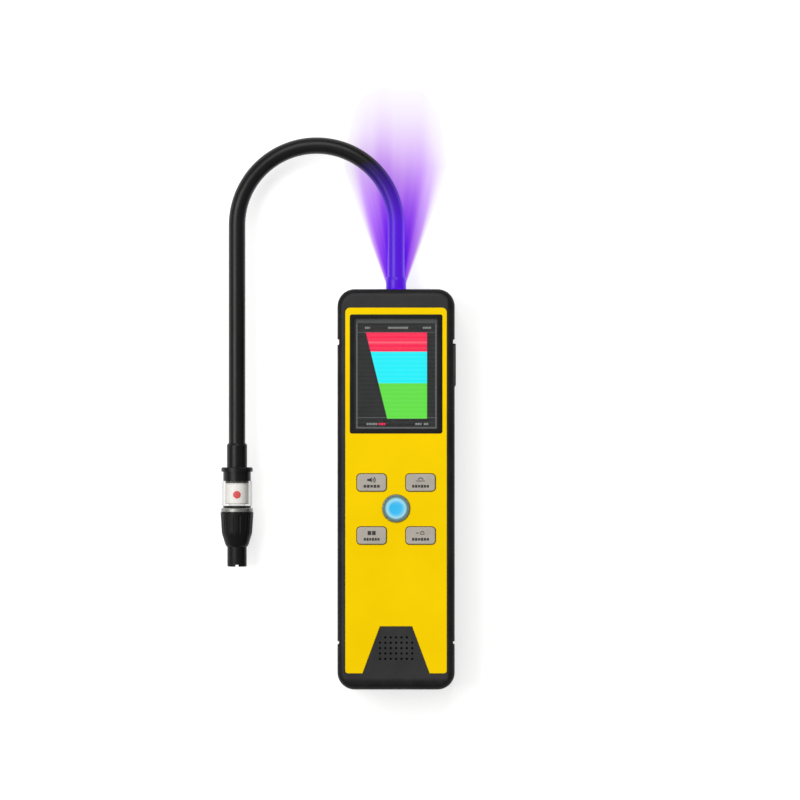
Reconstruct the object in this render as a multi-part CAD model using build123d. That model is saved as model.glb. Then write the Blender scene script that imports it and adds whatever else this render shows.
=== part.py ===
from build123d import *
from math import atan2, degrees
import os

# Infrared refrigerant leak detector, lying on its back with its gooseneck bent round to the left.
# Millimetres. +Z points out of the face, +Y towards the gooseneck end, +X to the reader's right.
# The origin is the centre of the back face.

# Housing
BODY_WIDTH = 61.2
BODY_LENGTH = 209.0
BODY_DEPTH = 34.0
FRONT_SHELL_DEPTH = 19.0
CORNER_RADIUS = 9.0
SIDE_WALL = 2.2
BACK_WALL = 2.2
FRONT_WALL = 2.8
BACK_EDGE_RADIUS = 3.0
FRONT_EDGE_RADIUS = 3.8
LIP_THICKNESS = 1.1
LIP_HEIGHT = 1.6
LIP_ROOT = 3.0
LIP_CLEARANCE = 0.1

# Grooves round the sides, measured from the housing's ends, and the rubber grips between them
GROOVE_DEPTH = 0.85
UPPER_GROOVE_DROP = 27.6
UPPER_GROOVE_WIDTH = 2.9
LOWER_GROOVE_RISE = 24.2
LOWER_GROOVE_WIDTH = 2.1
GRIP_LOW_MARGIN = 2.0
GRIP_HIGH_MARGIN = 6.0
GRIP_GAP = 0.1
GRIP_PORT_GAP = 0.4
GRIP_RIB_PITCH = 4.0
GRIP_RIB_GROOVE = 1.2
GRIP_RIB_DEPTH = 0.4

# Yellow front panel, set in from the housing's outline
PANEL_SIDE_MARGIN = 4.1
PANEL_TOP_MARGIN = 9.7
PANEL_BOTTOM_MARGIN = 8.5
PANEL_THICKNESS = 1.4
PANEL_SEAT_DEPTH = 1.2
PANEL_TOP_CORNER = 2.5
PANEL_BOTTOM_CORNER = 1.5
PANEL_GAP = 0.1
PANEL_EDGE_ROUND = 0.35
ISLAND_HEIGHT = 24.55
ISLAND_TOP_WIDTH = 16.8
ISLAND_BOTTOM_WIDTH = 35.0

# Display and its window, set in from the panel's edges
WINDOW_SIDE_MARGIN = 2.4
WINDOW_TOP_MARGIN = 3.6
WINDOW_LENGTH = 62.0
WINDOW_CORNER = 1.2
WINDOW_FRAME_THICKNESS = 1.7
VIEW_SIDE_BORDER = 2.5
VIEW_END_BORDER = 2.2
VIEW_CORNER = 0.5
LENS_THICKNESS = 1.1
LENS_LAP = 0.8
LENS_GAP = 0.15
DISPLAY_SIDE_MARGIN = 3.4
DISPLAY_TOP_MARGIN = 3.6
DISPLAY_BOTTOM_MARGIN = 8.0
DISPLAY_CORNER = 0.8
DISPLAY_THICKNESS = 3.2
TRAY_WALL = 3.0

# Keys, the first row measured from the window's lower edge
KEY_WIDTH = 15.2
KEY_LENGTH = 8.9
KEY_CORNER = 1.8
KEY_SIDE_MARGIN = 6.15
KEY_DROP = 25.6
KEY_ROW_SPACING = 27.65
KEY_STAND_PROUD = 1.0
KEY_PANEL_GAP = 0.4
KEY_SHELL_GAP = 0.3
KEY_FLANGE_LAP = 1.4
KEY_FLANGE_THICKNESS = 1.0
KEY_FLANGE_GAP = 0.1
KEY_EDGE_ROUND = 0.5
STEM_DIAMETER = 3.4

# Power button with its light ring and metal rim, measured from the first row of keys
POWER_DROP = 13.5
RIM_OUTER = 14.6
RIM_INNER = 12.9
RIM_EDGE_ROUND = 0.34
RIM_STAND_PROUD = 0.8
LIGHT_RING_OUTER = 12.5
LIGHT_RING_INNER = 9.0
LIGHT_RING_STAND_PROUD = 0.6
LIGHT_FLANGE_LAP = 1.25
LIGHT_FLANGE_THICKNESS = 1.2
POWER_BUTTON_DIAMETER = 8.4
POWER_BUTTON_STAND_PROUD = 0.7
POWER_FLANGE_DIAMETER = 11.5
POWER_FLANGE_THICKNESS = 0.9
POWER_DISH_DEPTH = 0.35
POWER_DISH_RADIUS = 20.0

# Speaker behind its holes, measured from the panel's lower edge
SPEAKER_RISE = 13.25
HOLE_DIAMETER = 1.2
HOLE_PITCH = 2.8
HOLE_COLUMNS = 7
HOLE_ROWS = 5
TOP_ROW_HOLES = 5
SPEAKER_DIAMETER = 20.0
SPEAKER_HEIGHT = 4.2
MAGNET_DIAMETER = 12.0
MAGNET_HEIGHT = 2.6
MESH_THICKNESS = 0.3
MESH_MARGIN = 1.6
MESH_CORNER = 3.0
SPEAKER_WALL = 1.2
SPEAKER_GAP = 0.2

# Main board, hung under the front plate, with its switches and screws
BOARD_THICKNESS = 1.6
BOARD_DROP = 6.6
BOARD_SIDE_GAP = 2.9
BOARD_TOP_MARGIN = 13.5
BOARD_BOTTOM_MARGIN = 36.5
BOARD_CORNER = 1.5
BOARD_BOSS_GAP = 0.4
SWITCH_SIZE = 6.2
SWITCH_CORNER = 0.4
SWITCH_HEIGHT = 2.8
SWITCH_HOLE_DEPTH = 1.7
PLUNGER_DIAMETER = 3.3
PLUNGER_TOP_DROP = 2.6
PLUNGER_GAP = 0.3
PLUNGER_REST_GAP = 0.75
BOARD_SCREW_UPPER_X = 10.0
BOARD_SCREW_SIDE_MARGIN = 5.5
BOARD_SCREW_END_MARGIN = 6.0
BOARD_SCREW_DIAMETER = 1.9
BOARD_SCREW_LENGTH = 5.0
BOARD_SCREW_HEAD = 3.8
BOARD_SCREW_HEAD_HEIGHT = 1.4
BOARD_SCREW_SPARE = 0.5
BOARD_HOLE_GAP = 0.15
BOARD_BOSS_DIAMETER = 5.0

# Case screws: four near the corners of the inside, two just below the display
CORNER_SCREW_SIDE_MARGIN = 5.9
CORNER_SCREW_END_MARGIN = 5.8
MIDDLE_SCREW_SIDE_MARGIN = 4.4
MIDDLE_SCREW_DROP = 7.4
CASE_SCREW_DIAMETER = 2.9
CASE_SCREW_LENGTH = 20.0
CASE_SCREW_HEAD = 5.4
CASE_SCREW_HEAD_HEIGHT = 2.2
CASE_SCREW_SPARE = 1.0
CASE_SEAT_Z = 4.2
CASE_HEAD_GAP = 0.3
CASE_HOLE_GAP = 0.1
CASE_BOSS_DIAMETER = 8.4
FRONT_BOSS_DIAMETER = 6.4
SCREW_FIT = 0.05
HEAD_ROUND_SHARE = 0.4
CROSS_LENGTH_SHARE = 0.6
CROSS_WIDTH_SHARE = 0.16

# Port cover, its pocket and the charging socket, measured from the upper groove
COVER_TOP_DROP = 0.75
POCKET_LENGTH = 23.75
POCKET_DEPTH = 1.8
POCKET_BACKING = 2.6
POCKET_BACKING_MARGIN = 2.0
COVER_HINGE_RISE = 2.4
COVER_HINGE_INSET = 1.2
COVER_PROUD = 0.6
COVER_THICKNESS = 2.0
COVER_LOW_MARGIN = 2.4
COVER_HIGH_MARGIN = 6.6
COVER_GAP = 0.2
COVER_CORNER = 1.5
COVER_EDGE_ROUND = 0.5
COVER_PIN_DIAMETER = 1.4
COVER_PIN_LENGTH = 1.0
COVER_PIN_FIT = 0.07
SOCKET_RISE = 13.6
SOCKET_WIDTH = 8.94
SOCKET_HEIGHT = 3.26
SOCKET_LENGTH = 7.3
SOCKET_SHELL = 0.3
SOCKET_DEPTH = 5.6
TONGUE_WIDTH = 6.7
TONGUE_THICKNESS = 0.7
TONGUE_SETBACK = 0.9
SOCKET_GAP = 0.25
PLUG_WIDTH = 7.2
PLUG_HEIGHT = 1.7
PLUG_LENGTH = 1.0

# Gooseneck
NECK_DIAMETER = 8.7
SHEATH_WALL = 1.05
SPINE_DIAMETER = 6.4
SPINE_WALL = 1.0
TUBE_DIAMETER = 4.0
TUBE_BORE = 2.5
NECK_BEND_RADIUS = 41.65
NECK_RISE = 33.7
NECK_FALL = 126.8
NECK_FAR_GRIP = 2.0
TUBE_FAR_GRIP = 1.0
GLAND_COLLAR_DIAMETER = 10.5
GLAND_COLLAR_LENGTH = 6.5
GLAND_COLLAR_CHAMFER = 1.5
GLAND_COLLAR_TAPER = 0.3
GLAND_WAIST_DIAMETER = 9.7
GLAND_FLANGE_DIAMETER = 14.0
GLAND_FLANGE_THICKNESS = 2.5
GLAND_TAIL_DIAMETER = 10.8
GLAND_TAIL_LENGTH = 6.6
GLAND_GRIP_LENGTH = 4.0
GLAND_WALL_GAP = 0.1
GLAND_LIP_GAP = 1.0
NECK_SEAT_GAP = 0.07
NUT_ACROSS_FLATS = 14.0
NUT_THICKNESS = 3.5
NUT_SETBACK = 1.2
NUT_FIT = 0.05

# Ultraviolet lamp in the top end wall
LAMP_DROP = 5.0
LAMP_LENS_DIAMETER = 6.2
LAMP_LENS_FLANGE = 7.6
LAMP_FLANGE_THICKNESS = 1.0
LAMP_DOME_HEIGHT = 0.8
LAMP_CONE_LENGTH = 3.0
LAMP_CONE_DIAMETER = 5.0
LAMP_HOLE_GAP = 0.1
LAMP_BOARD_WIDTH = 12.0
LAMP_BOARD_HEIGHT = 8.4
LAMP_BOARD_THICKNESS = 1.2
EMITTER_SIZE = 5.0
EMITTER_HEIGHT = 1.8

# Probe head, from its sleeve down to its inlet tip
SLEEVE_LENGTH = 12.5
SLEEVE_DIAMETER = 10.6
SLEEVE_TAPER = 0.5
SLEEVE_TAPER_LENGTH = 1.0
SLEEVE_BORE_GAP = 0.1
COLLAR_FLANGE_DIAMETER = 16.5
COLLAR_FLANGE_LENGTH = 2.3
COLLAR_FLANGE_CHAMFER = 0.4
COLLAR_DIAMETER = 14.5
COLLAR_LENGTH = 7.1
COLLAR_SPIGOT_LENGTH = 1.0
COLLAR_SPIGOT_GAP = 0.1
CHAMBER_DIAMETER = 15.7
CHAMBER_WALL = 1.6
CHAMBER_LENGTH = 13.05
CHAMBER_FLOOR = 0.9
SPIGOT_DIAMETER = 12.6
SPIGOT_LENGTH = 8.4
SPIGOT_BORE = 8.6
FILTER_GAP = 0.425
FILTER_BORE = 3.0
FILTER_CHAMFER = 0.4
MARKER_DIAMETER = 4.0
MARKER_DROP = 7.2
MARKER_THICKNESS = 0.25
SEAL_SPACE = 1.2
SEAL_SECTION = 1.1
RING_DIAMETER = 16.6
RING_LENGTH = 2.2
RING_CHAMFER = 0.3
NOZZLE_FIT = 0.15
NOZZLE_TOP_DIAMETER = 17.35
NOZZLE_WAIST_DIAMETER = 16.0
NOZZLE_WAIST_DROP = 10.0
NOZZLE_SHOULDER_DIAMETER = 13.7
NOZZLE_SHOULDER_DROP = 14.4
NOZZLE_END_DIAMETER = 10.6
NOZZLE_LENGTH = 18.05
NOZZLE_SEAT_DEPTH = 5.3
NOZZLE_SEAT_STEP = 1.0
NOZZLE_THROAT_DIAMETER = 7.2
NOZZLE_FLUTES = 18
NOZZLE_FLUTE_DEPTH = 0.2
NOZZLE_FLUTE_DIAMETER = 2.0
NOZZLE_FLUTE_MARGIN = 1.8
TIP_DIAMETER = 10.15
TIP_LENGTH = 10.4
TIP_BORE = 3.6
TIP_SPIGOT_LENGTH = 3.0
TIP_CHAMFER = 0.4
TIP_SLOT_WIDTH = 1.8
TIP_SLOT_DEPTH = 1.0

# Battery, which fills the bay under the board, with its cradle and contacts
CELL_LENGTH = 65.0
CELL_ROOF_GAP = 1.8
CELL_NUB_DIAMETER = 5.5
CELL_NUB_HEIGHT = 0.8
CELL_SIDE_MARGIN = 13.9
CELL_DROP = 11.0
CELL_FIT = 0.2
CRADLE_WALL = 1.2
CRADLE_HEIGHT = 8.5
CRADLE_END = 2.0
CONTACT_THICKNESS = 0.5
CONTACT_WIDTH = 8.0
CONTACT_HEIGHT = 14.0

# Sample pump
PUMP_SIDE_MARGIN = 14.9
PUMP_DROP = 28.0
PUMP_ROOF_GAP = 2.8
PUMP_HEAD_WIDTH = 18.0
PUMP_HEAD_LENGTH = 16.0
PUMP_HEAD_CORNER = 2.0
MOTOR_STEP = 1.0
MOTOR_LENGTH = 20.0
MOTOR_BOSS_DIAMETER = 6.0
MOTOR_BOSS_LENGTH = 1.5
PUMP_PORT_SPACING = 8.0
PUMP_PORT_DEPTH = 2.0

# Infrared cell
IR_SIDE_MARGIN = 14.9
IR_RISE = 8.0
IR_LENGTH = 56.0
IR_DIAMETER = 12.0
IR_BORE = 8.0
IR_FLANGE_WIDTH = 14.0
IR_FLANGE_THICKNESS = 3.0
IR_PORT_SETBACK = 7.0
IR_CAN_DIAMETER = 9.1
IR_CAN_LENGTH = 4.5
IR_PLUG_LENGTH = 4.0
IR_PLUG_FIT = 0.1

# Hoses and the nipples that they push onto
HOSE_DIAMETER = 4.2
HOSE_BORE = 2.6
NIPPLE_DIAMETER = 2.5
NIPPLE_BORE = 1.4
NIPPLE_LENGTH = 4.0
HOSE_BEND_RADIUS = 4.0
PUMP_HOSE_RISE = 12.6
EXHAUST_LIP_GAP = 0.4
EXHAUST_HOSE_RISE = 8.4
EXHAUST_SIDE_MARGIN = 14.4
EXHAUST_LANE_MARGIN = 2.6
EXHAUST_NIPPLE_LENGTH = 5.0

# How far a cutter passes through what it cuts, and how deep a joined piece goes into the other
CUT_PAST = 1.0
ROOT = 0.5

# Heights that follow from the sizes above
FACE_Z = BODY_DEPTH
SPLIT_HEIGHT = BODY_DEPTH - FRONT_SHELL_DEPTH
SEAT_Z = BODY_DEPTH - PANEL_SEAT_DEPTH
PANEL_TOP_Z = SEAT_Z + PANEL_THICKNESS
CEILING_Z = BODY_DEPTH - FRONT_WALL
BOARD_TOP_Z = CEILING_Z - BOARD_DROP
BOARD_BOTTOM_Z = BOARD_TOP_Z - BOARD_THICKNESS
SWITCH_TOP_Z = BOARD_TOP_Z + SWITCH_HEIGHT
PLUNGER_TOP_Z = CEILING_Z - PLUNGER_TOP_DROP
GRIP_LOW_Z = SPLIT_HEIGHT + GRIP_LOW_MARGIN
GRIP_HIGH_Z = FACE_Z - GRIP_HIGH_MARGIN
COVER_LOW_Z = SPLIT_HEIGHT + COVER_LOW_MARGIN
COVER_HIGH_Z = FACE_Z - COVER_HIGH_MARGIN
SOCKET_Z = BOARD_BOTTOM_Z - SOCKET_HEIGHT / 2
LAMP_Z = CEILING_Z - LAMP_DROP
NECK_Z = SPLIT_HEIGHT
EXHAUST_Z = SPLIT_HEIGHT - LIP_ROOT - EXHAUST_LIP_GAP - HOSE_DIAMETER / 2

# Places across the housing
HALF_WIDTH = BODY_WIDTH / 2
INNER_X = HALF_WIDTH - SIDE_WALL
PANEL_WIDTH = BODY_WIDTH - 2 * PANEL_SIDE_MARGIN
WINDOW_WIDTH = PANEL_WIDTH - 2 * WINDOW_SIDE_MARGIN
VIEW_WIDTH = WINDOW_WIDTH - 2 * VIEW_SIDE_BORDER
DISPLAY_WIDTH = VIEW_WIDTH + 2 * DISPLAY_SIDE_MARGIN
KEY_X = PANEL_WIDTH / 2 - KEY_SIDE_MARGIN - KEY_WIDTH / 2
BOARD_WIDTH = 2 * (INNER_X - BOARD_SIDE_GAP)
BOARD_SCREW_SIDE_X = BOARD_WIDTH / 2 - BOARD_SCREW_SIDE_MARGIN
CORNER_SCREW_X = INNER_X - CORNER_SCREW_SIDE_MARGIN
MIDDLE_SCREW_X = INNER_X - MIDDLE_SCREW_SIDE_MARGIN
POCKET_FLOOR_X = HALF_WIDTH - POCKET_DEPTH
COVER_HINGE_X = HALF_WIDTH - COVER_HINGE_INSET
COVER_OUTER_X = HALF_WIDTH + COVER_PROUD
COVER_INNER_X = COVER_OUTER_X - COVER_THICKNESS
HEAD_X = -2 * NECK_BEND_RADIUS
CELL_X = CELL_SIDE_MARGIN - INNER_X
PUMP_X = INNER_X - PUMP_SIDE_MARGIN
IR_X = INNER_X - IR_SIDE_MARGIN
EXHAUST_X = INNER_X - EXHAUST_SIDE_MARGIN
EXHAUST_LANE_X = INNER_X - EXHAUST_LANE_MARGIN

# Places along the front
END_Y = BODY_LENGTH / 2
INNER_END_Y = END_Y - SIDE_WALL
UPPER_GROOVE_Y = END_Y - UPPER_GROOVE_DROP
LOWER_GROOVE_Y = LOWER_GROOVE_RISE - END_Y
GRIP_TOP_Y = UPPER_GROOVE_Y - UPPER_GROOVE_WIDTH / 2
GRIP_BOTTOM_Y = LOWER_GROOVE_Y + LOWER_GROOVE_WIDTH / 2
PANEL_TOP_Y = END_Y - PANEL_TOP_MARGIN
PANEL_BOTTOM_Y = PANEL_BOTTOM_MARGIN - END_Y
ISLAND_TOP_Y = PANEL_BOTTOM_Y + ISLAND_HEIGHT
SPEAKER_Y = PANEL_BOTTOM_Y + SPEAKER_RISE
WINDOW_TOP_Y = PANEL_TOP_Y - WINDOW_TOP_MARGIN
WINDOW_CENTRE_Y = WINDOW_TOP_Y - WINDOW_LENGTH / 2
VIEW_LENGTH = WINDOW_LENGTH - 2 * VIEW_END_BORDER
DISPLAY_TOP_Y = WINDOW_TOP_Y - VIEW_END_BORDER + DISPLAY_TOP_MARGIN
DISPLAY_LENGTH = DISPLAY_TOP_MARGIN + VIEW_LENGTH + DISPLAY_BOTTOM_MARGIN
DISPLAY_CENTRE_Y = DISPLAY_TOP_Y - DISPLAY_LENGTH / 2
KEY_ROW_Y = WINDOW_TOP_Y - WINDOW_LENGTH - KEY_DROP
LOWER_KEY_ROW_Y = KEY_ROW_Y - KEY_ROW_SPACING
POWER_Y = KEY_ROW_Y - POWER_DROP
COVER_TOP_Y = UPPER_GROOVE_Y - COVER_TOP_DROP
POCKET_LOW_Y = COVER_TOP_Y - POCKET_LENGTH
COVER_HINGE_Y = POCKET_LOW_Y + COVER_HINGE_RISE
SOCKET_Y = POCKET_LOW_Y + SOCKET_RISE
RIGHT_GRIP_TOP_Y = POCKET_LOW_Y - GRIP_PORT_GAP

# Places along the inside
BOARD_TOP_Y = END_Y - BOARD_TOP_MARGIN
BOARD_BOTTOM_Y = BOARD_BOTTOM_MARGIN - END_Y
MIDDLE_SCREW_Y = DISPLAY_TOP_Y - DISPLAY_LENGTH - MIDDLE_SCREW_DROP
CORNER_SCREW_Y = INNER_END_Y - CORNER_SCREW_END_MARGIN
BOARD_SCREW_LOW_Y = BOARD_BOTTOM_Y + BOARD_SCREW_END_MARGIN
BOARD_SCREW_MIDDLE_Y = (LOWER_KEY_ROW_Y + BOARD_SCREW_LOW_Y) / 2
IR_LOW_Y = MIDDLE_SCREW_Y + IR_RISE
IR_HIGH_Y = IR_LOW_Y + IR_LENGTH
PUMP_HEAD_TOP_Y = MIDDLE_SCREW_Y - PUMP_DROP
MOTOR_TOP_Y = PUMP_HEAD_TOP_Y - PUMP_HEAD_LENGTH
MOTOR_END_Y = MOTOR_TOP_Y - MOTOR_LENGTH - MOTOR_BOSS_LENGTH
EXHAUST_TURN_Y = (MOTOR_END_Y - CORNER_SCREW_Y) / 2
CELL_CENTRE_Y = MIDDLE_SCREW_Y - CELL_DROP - CELL_LENGTH / 2
LAMP_BACK_Y = INNER_END_Y - LAMP_FLANGE_THICKNESS - LAMP_CONE_LENGTH

# The bay between the back wall and the board, which the cell and the pump fill
BAY_HEIGHT = BOARD_BOTTOM_Z - BACK_WALL
CELL_DIAMETER = BAY_HEIGHT - CRADLE_WALL / 2 - CELL_ROOF_GAP
CELL_Z = BACK_WALL + CRADLE_WALL / 2 + CELL_DIAMETER / 2
PUMP_HEAD_HEIGHT = BAY_HEIGHT - PUMP_ROOF_GAP
PUMP_Z = BACK_WALL + PUMP_HEAD_HEIGHT / 2
MOTOR_DIAMETER = PUMP_HEAD_HEIGHT - 2 * MOTOR_STEP

# Places along the gooseneck and the probe head, which hangs from the neck's turn
GLAND_TAIL_END_Y = INNER_END_Y - GLAND_WALL_GAP - GLAND_FLANGE_THICKNESS - GLAND_TAIL_LENGTH
NECK_START_Y = GLAND_TAIL_END_Y + GLAND_GRIP_LENGTH
NECK_STRAIGHT_END_Y = END_Y + NECK_RISE
COLLAR_TOP_Y = NECK_STRAIGHT_END_Y - NECK_FALL
SLEEVE_TOP_Y = COLLAR_TOP_Y + SLEEVE_LENGTH
NECK_END_Y = COLLAR_TOP_Y + NECK_FAR_GRIP
CHAMBER_TOP_Y = COLLAR_TOP_Y - COLLAR_LENGTH
CHAMBER_BOTTOM_Y = CHAMBER_TOP_Y - CHAMBER_LENGTH
FILTER_DIAMETER = CHAMBER_DIAMETER - 2 * (CHAMBER_WALL + FILTER_GAP)
MARKER_Y = CHAMBER_TOP_Y - MARKER_DROP
RING_TOP_Y = CHAMBER_BOTTOM_Y - SEAL_SPACE
NOZZLE_TOP_Y = RING_TOP_Y - RING_LENGTH
TIP_TOP_Y = NOZZLE_TOP_Y - NOZZLE_LENGTH
TIP_END_Y = TIP_TOP_Y - TIP_LENGTH


def block(low, high):
    """A box between two opposite corners."""
    size = [b - a for a, b in zip(low, high)]
    middle = [(a + b) / 2 for a, b in zip(low, high)]
    return Pos(*middle) * Box(*size)


def rounded_block(width, length, radius, low, high, centre=(0, 0)):
    """An upright block with round corners between two heights."""
    outline = Pos(centre[0], centre[1], low) * RectangleRounded(width, length, radius)
    return extrude(outline, amount=high - low)


def post(diameter, low, high, centre=(0, 0)):
    """An upright cylinder between two heights."""
    return Pos(centre[0], centre[1], (low + high) / 2) * Cylinder(diameter / 2, high - low)


def bar(diameter, low, high, x, z):
    """A cylinder along Y between two places."""
    return Pos(x, (low + high) / 2, z) * Rot(90, 0, 0) * Cylinder(diameter / 2, high - low)


def cross_bar(diameter, low, high, y, z):
    """A cylinder along X between two places."""
    return Pos((low + high) / 2, y, z) * Rot(0, 90, 0) * Cylinder(diameter / 2, high - low)


def turned(corners, x, z):
    """A turned piece about a line along Y, from corners given as radius and height."""
    profile = Polygon(*corners, align=None)
    return Pos(x, 0, z) * revolve(profile, axis=Axis.Y)


def tube_along(path, outer, bore):
    """A tube of round section along a path."""
    start = Plane(origin=path @ 0, z_dir=path % 0)
    section = start * (Circle(outer / 2) - Circle(bore / 2))
    return sweep(section, path=path)


def trapezoid(grow):
    """The speaker field's outline, grown on its top and sides."""
    top = ISLAND_TOP_Y + grow
    bottom = PANEL_BOTTOM_Y - CUT_PAST
    slope = (ISLAND_BOTTOM_WIDTH - ISLAND_TOP_WIDTH) / 2 / (ISLAND_TOP_Y - PANEL_BOTTOM_Y)
    half_top = ISLAND_TOP_WIDTH / 2 + grow
    half_bottom = half_top + slope * (top - bottom)
    corners = ((-half_top, top), (-half_bottom, bottom), (half_bottom, bottom), (half_top, top))
    return Polygon(*corners, align=None)


def panel_outline(grow):
    """The yellow panel's outline without its openings."""
    width = PANEL_WIDTH + 2 * grow
    length = PANEL_TOP_Y - PANEL_BOTTOM_Y + 2 * grow
    outline = Pos(0, (PANEL_TOP_Y + PANEL_BOTTOM_Y) / 2) * Rectangle(width, length)
    outline = fillet(outline.vertices().group_by(Axis.Y)[-1], PANEL_TOP_CORNER + grow)
    outline = fillet(outline.vertices().group_by(Axis.Y)[0], PANEL_BOTTOM_CORNER + grow)
    return outline - trapezoid(-grow)


def key_places():
    """The four key centres by name."""
    rows = (("top", KEY_ROW_Y), ("bottom", LOWER_KEY_ROW_Y))
    sides = (("left", -KEY_X), ("right", KEY_X))
    return {f"key_{row}_{side}": (x, y) for row, y in rows for side, x in sides}


def switch_places():
    """Every switch centre: the four keys and the power button."""
    return [*key_places().values(), (0, POWER_Y)]


def case_screw_places():
    """The six case screws: four near the corners, two below the display."""
    places = [(x, y) for x in (-CORNER_SCREW_X, CORNER_SCREW_X) for y in (-CORNER_SCREW_Y, CORNER_SCREW_Y)]
    return places + [(-MIDDLE_SCREW_X, MIDDLE_SCREW_Y), (MIDDLE_SCREW_X, MIDDLE_SCREW_Y)]


def board_screw_places():
    """The six board screws: two below the display, four along the board's lower sides."""
    places = [(-BOARD_SCREW_UPPER_X, MIDDLE_SCREW_Y), (BOARD_SCREW_UPPER_X, MIDDLE_SCREW_Y)]
    for y in (BOARD_SCREW_MIDDLE_Y, BOARD_SCREW_LOW_Y):
        places += [(-BOARD_SCREW_SIDE_X, y), (BOARD_SCREW_SIDE_X, y)]
    return places


def housing_blank():
    """The whole housing as one solid block with its rounded edges and side grooves."""
    blank = rounded_block(BODY_WIDTH, BODY_LENGTH, CORNER_RADIUS, 0, BODY_DEPTH)
    blank = fillet(blank.edges().group_by(Axis.Z)[-1], FRONT_EDGE_RADIUS)
    blank = fillet(blank.edges().group_by(Axis.Z)[0], BACK_EDGE_RADIUS)
    grooves = ((UPPER_GROOVE_Y, UPPER_GROOVE_WIDTH), (LOWER_GROOVE_Y, LOWER_GROOVE_WIDTH))
    for y, width in grooves:
        for x in (-HALF_WIDTH, HALF_WIDTH):
            low = (x - GROOVE_DEPTH, y - width / 2, -CUT_PAST)
            high = (x + GROOVE_DEPTH, y + width / 2, FACE_Z + CUT_PAST)
            blank -= block(low, high)
    return blank


def cavity_outline(inset):
    """The inside of the side walls, moved inwards by an inset."""
    depth = SIDE_WALL + inset
    return RectangleRounded(BODY_WIDTH - 2 * depth, BODY_LENGTH - 2 * depth, CORNER_RADIUS - depth)


def cavity():
    """The hollow inside both shells."""
    return extrude(Pos(0, 0, BACK_WALL) * cavity_outline(0), amount=CEILING_Z - BACK_WALL)


def gland_hole():
    """The round hole through the top end wall that the neck gland sits in."""
    diameter = GLAND_WAIST_DIAMETER + 2 * GLAND_WALL_GAP
    return bar(diameter, INNER_END_Y - CUT_PAST, END_Y + CUT_PAST, 0, NECK_Z)


def rear_lip():
    """The lip inside the rear shell's rim that lines up the two shells."""
    root = extrude(Pos(0, 0, SPLIT_HEIGHT - LIP_ROOT) * cavity_outline(0), amount=LIP_ROOT)
    tongue = extrude(Pos(0, 0, SPLIT_HEIGHT) * cavity_outline(LIP_CLEARANCE), amount=LIP_HEIGHT)
    lip = root + tongue - extrude(cavity_outline(LIP_THICKNESS), amount=BODY_DEPTH)
    reach = GLAND_FLANGE_DIAMETER / 2 + GLAND_LIP_GAP
    lip -= block((-reach, 0, 0), (reach, END_Y, BODY_DEPTH))
    for place in case_screw_places():
        lip -= post(FRONT_BOSS_DIAMETER + 2 * LIP_CLEARANCE, SPLIT_HEIGHT, BODY_DEPTH, place)
    return lip - backing_block(LIP_CLEARANCE)


def backing_block(grow):
    """The thick wall behind the port pocket."""
    margin = POCKET_BACKING_MARGIN + grow
    low = (INNER_X - POCKET_BACKING - grow, POCKET_LOW_Y - margin, SPLIT_HEIGHT)
    return block(low, (INNER_X + ROOT, COVER_TOP_Y + margin, COVER_HIGH_Z + margin))


def rear_shell():
    """The back half of the housing, with screw bosses, a lip and the exhaust nipple."""
    shell = housing_blank() & block((-BODY_WIDTH, -BODY_LENGTH, 0), (BODY_WIDTH, BODY_LENGTH, SPLIT_HEIGHT))
    shell -= cavity()
    root_z = BACK_WALL - ROOT
    inner = extrude(Pos(0, 0, root_z) * cavity_outline(-ROOT), amount=SPLIT_HEIGHT - root_z)
    for place in case_screw_places():
        shell += post(CASE_BOSS_DIAMETER, root_z, SPLIT_HEIGHT, place) & inner
    shell += rear_lip()
    nipple_start = EXHAUST_NIPPLE_LENGTH - INNER_END_Y
    shell += bar(NIPPLE_DIAMETER, -INNER_END_Y - ROOT, nipple_start, EXHAUST_X, EXHAUST_Z)
    shell -= bar(NIPPLE_BORE, -END_Y - CUT_PAST, nipple_start + CUT_PAST, EXHAUST_X, EXHAUST_Z)
    for place in case_screw_places():
        shell -= post(CASE_SCREW_DIAMETER + 2 * CASE_HOLE_GAP, -CUT_PAST, BODY_DEPTH, place)
        shell -= post(CASE_SCREW_HEAD + 2 * CASE_HEAD_GAP, -CUT_PAST, CASE_SEAT_Z, place)
    return shell - gland_hole()


def speaker_holes():
    """Grid of speaker holes, with a shorter top row."""
    holes = []
    for row in range(HOLE_ROWS):
        count = TOP_ROW_HOLES if row == 0 else HOLE_COLUMNS
        y = SPEAKER_Y + ((HOLE_ROWS - 1) / 2 - row) * HOLE_PITCH
        for column in range(count):
            x = (column - (count - 1) / 2) * HOLE_PITCH
            holes.append(post(HOLE_DIAMETER, CEILING_Z - CUT_PAST, FACE_Z + CUT_PAST, (x, y)))
    return holes


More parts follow.
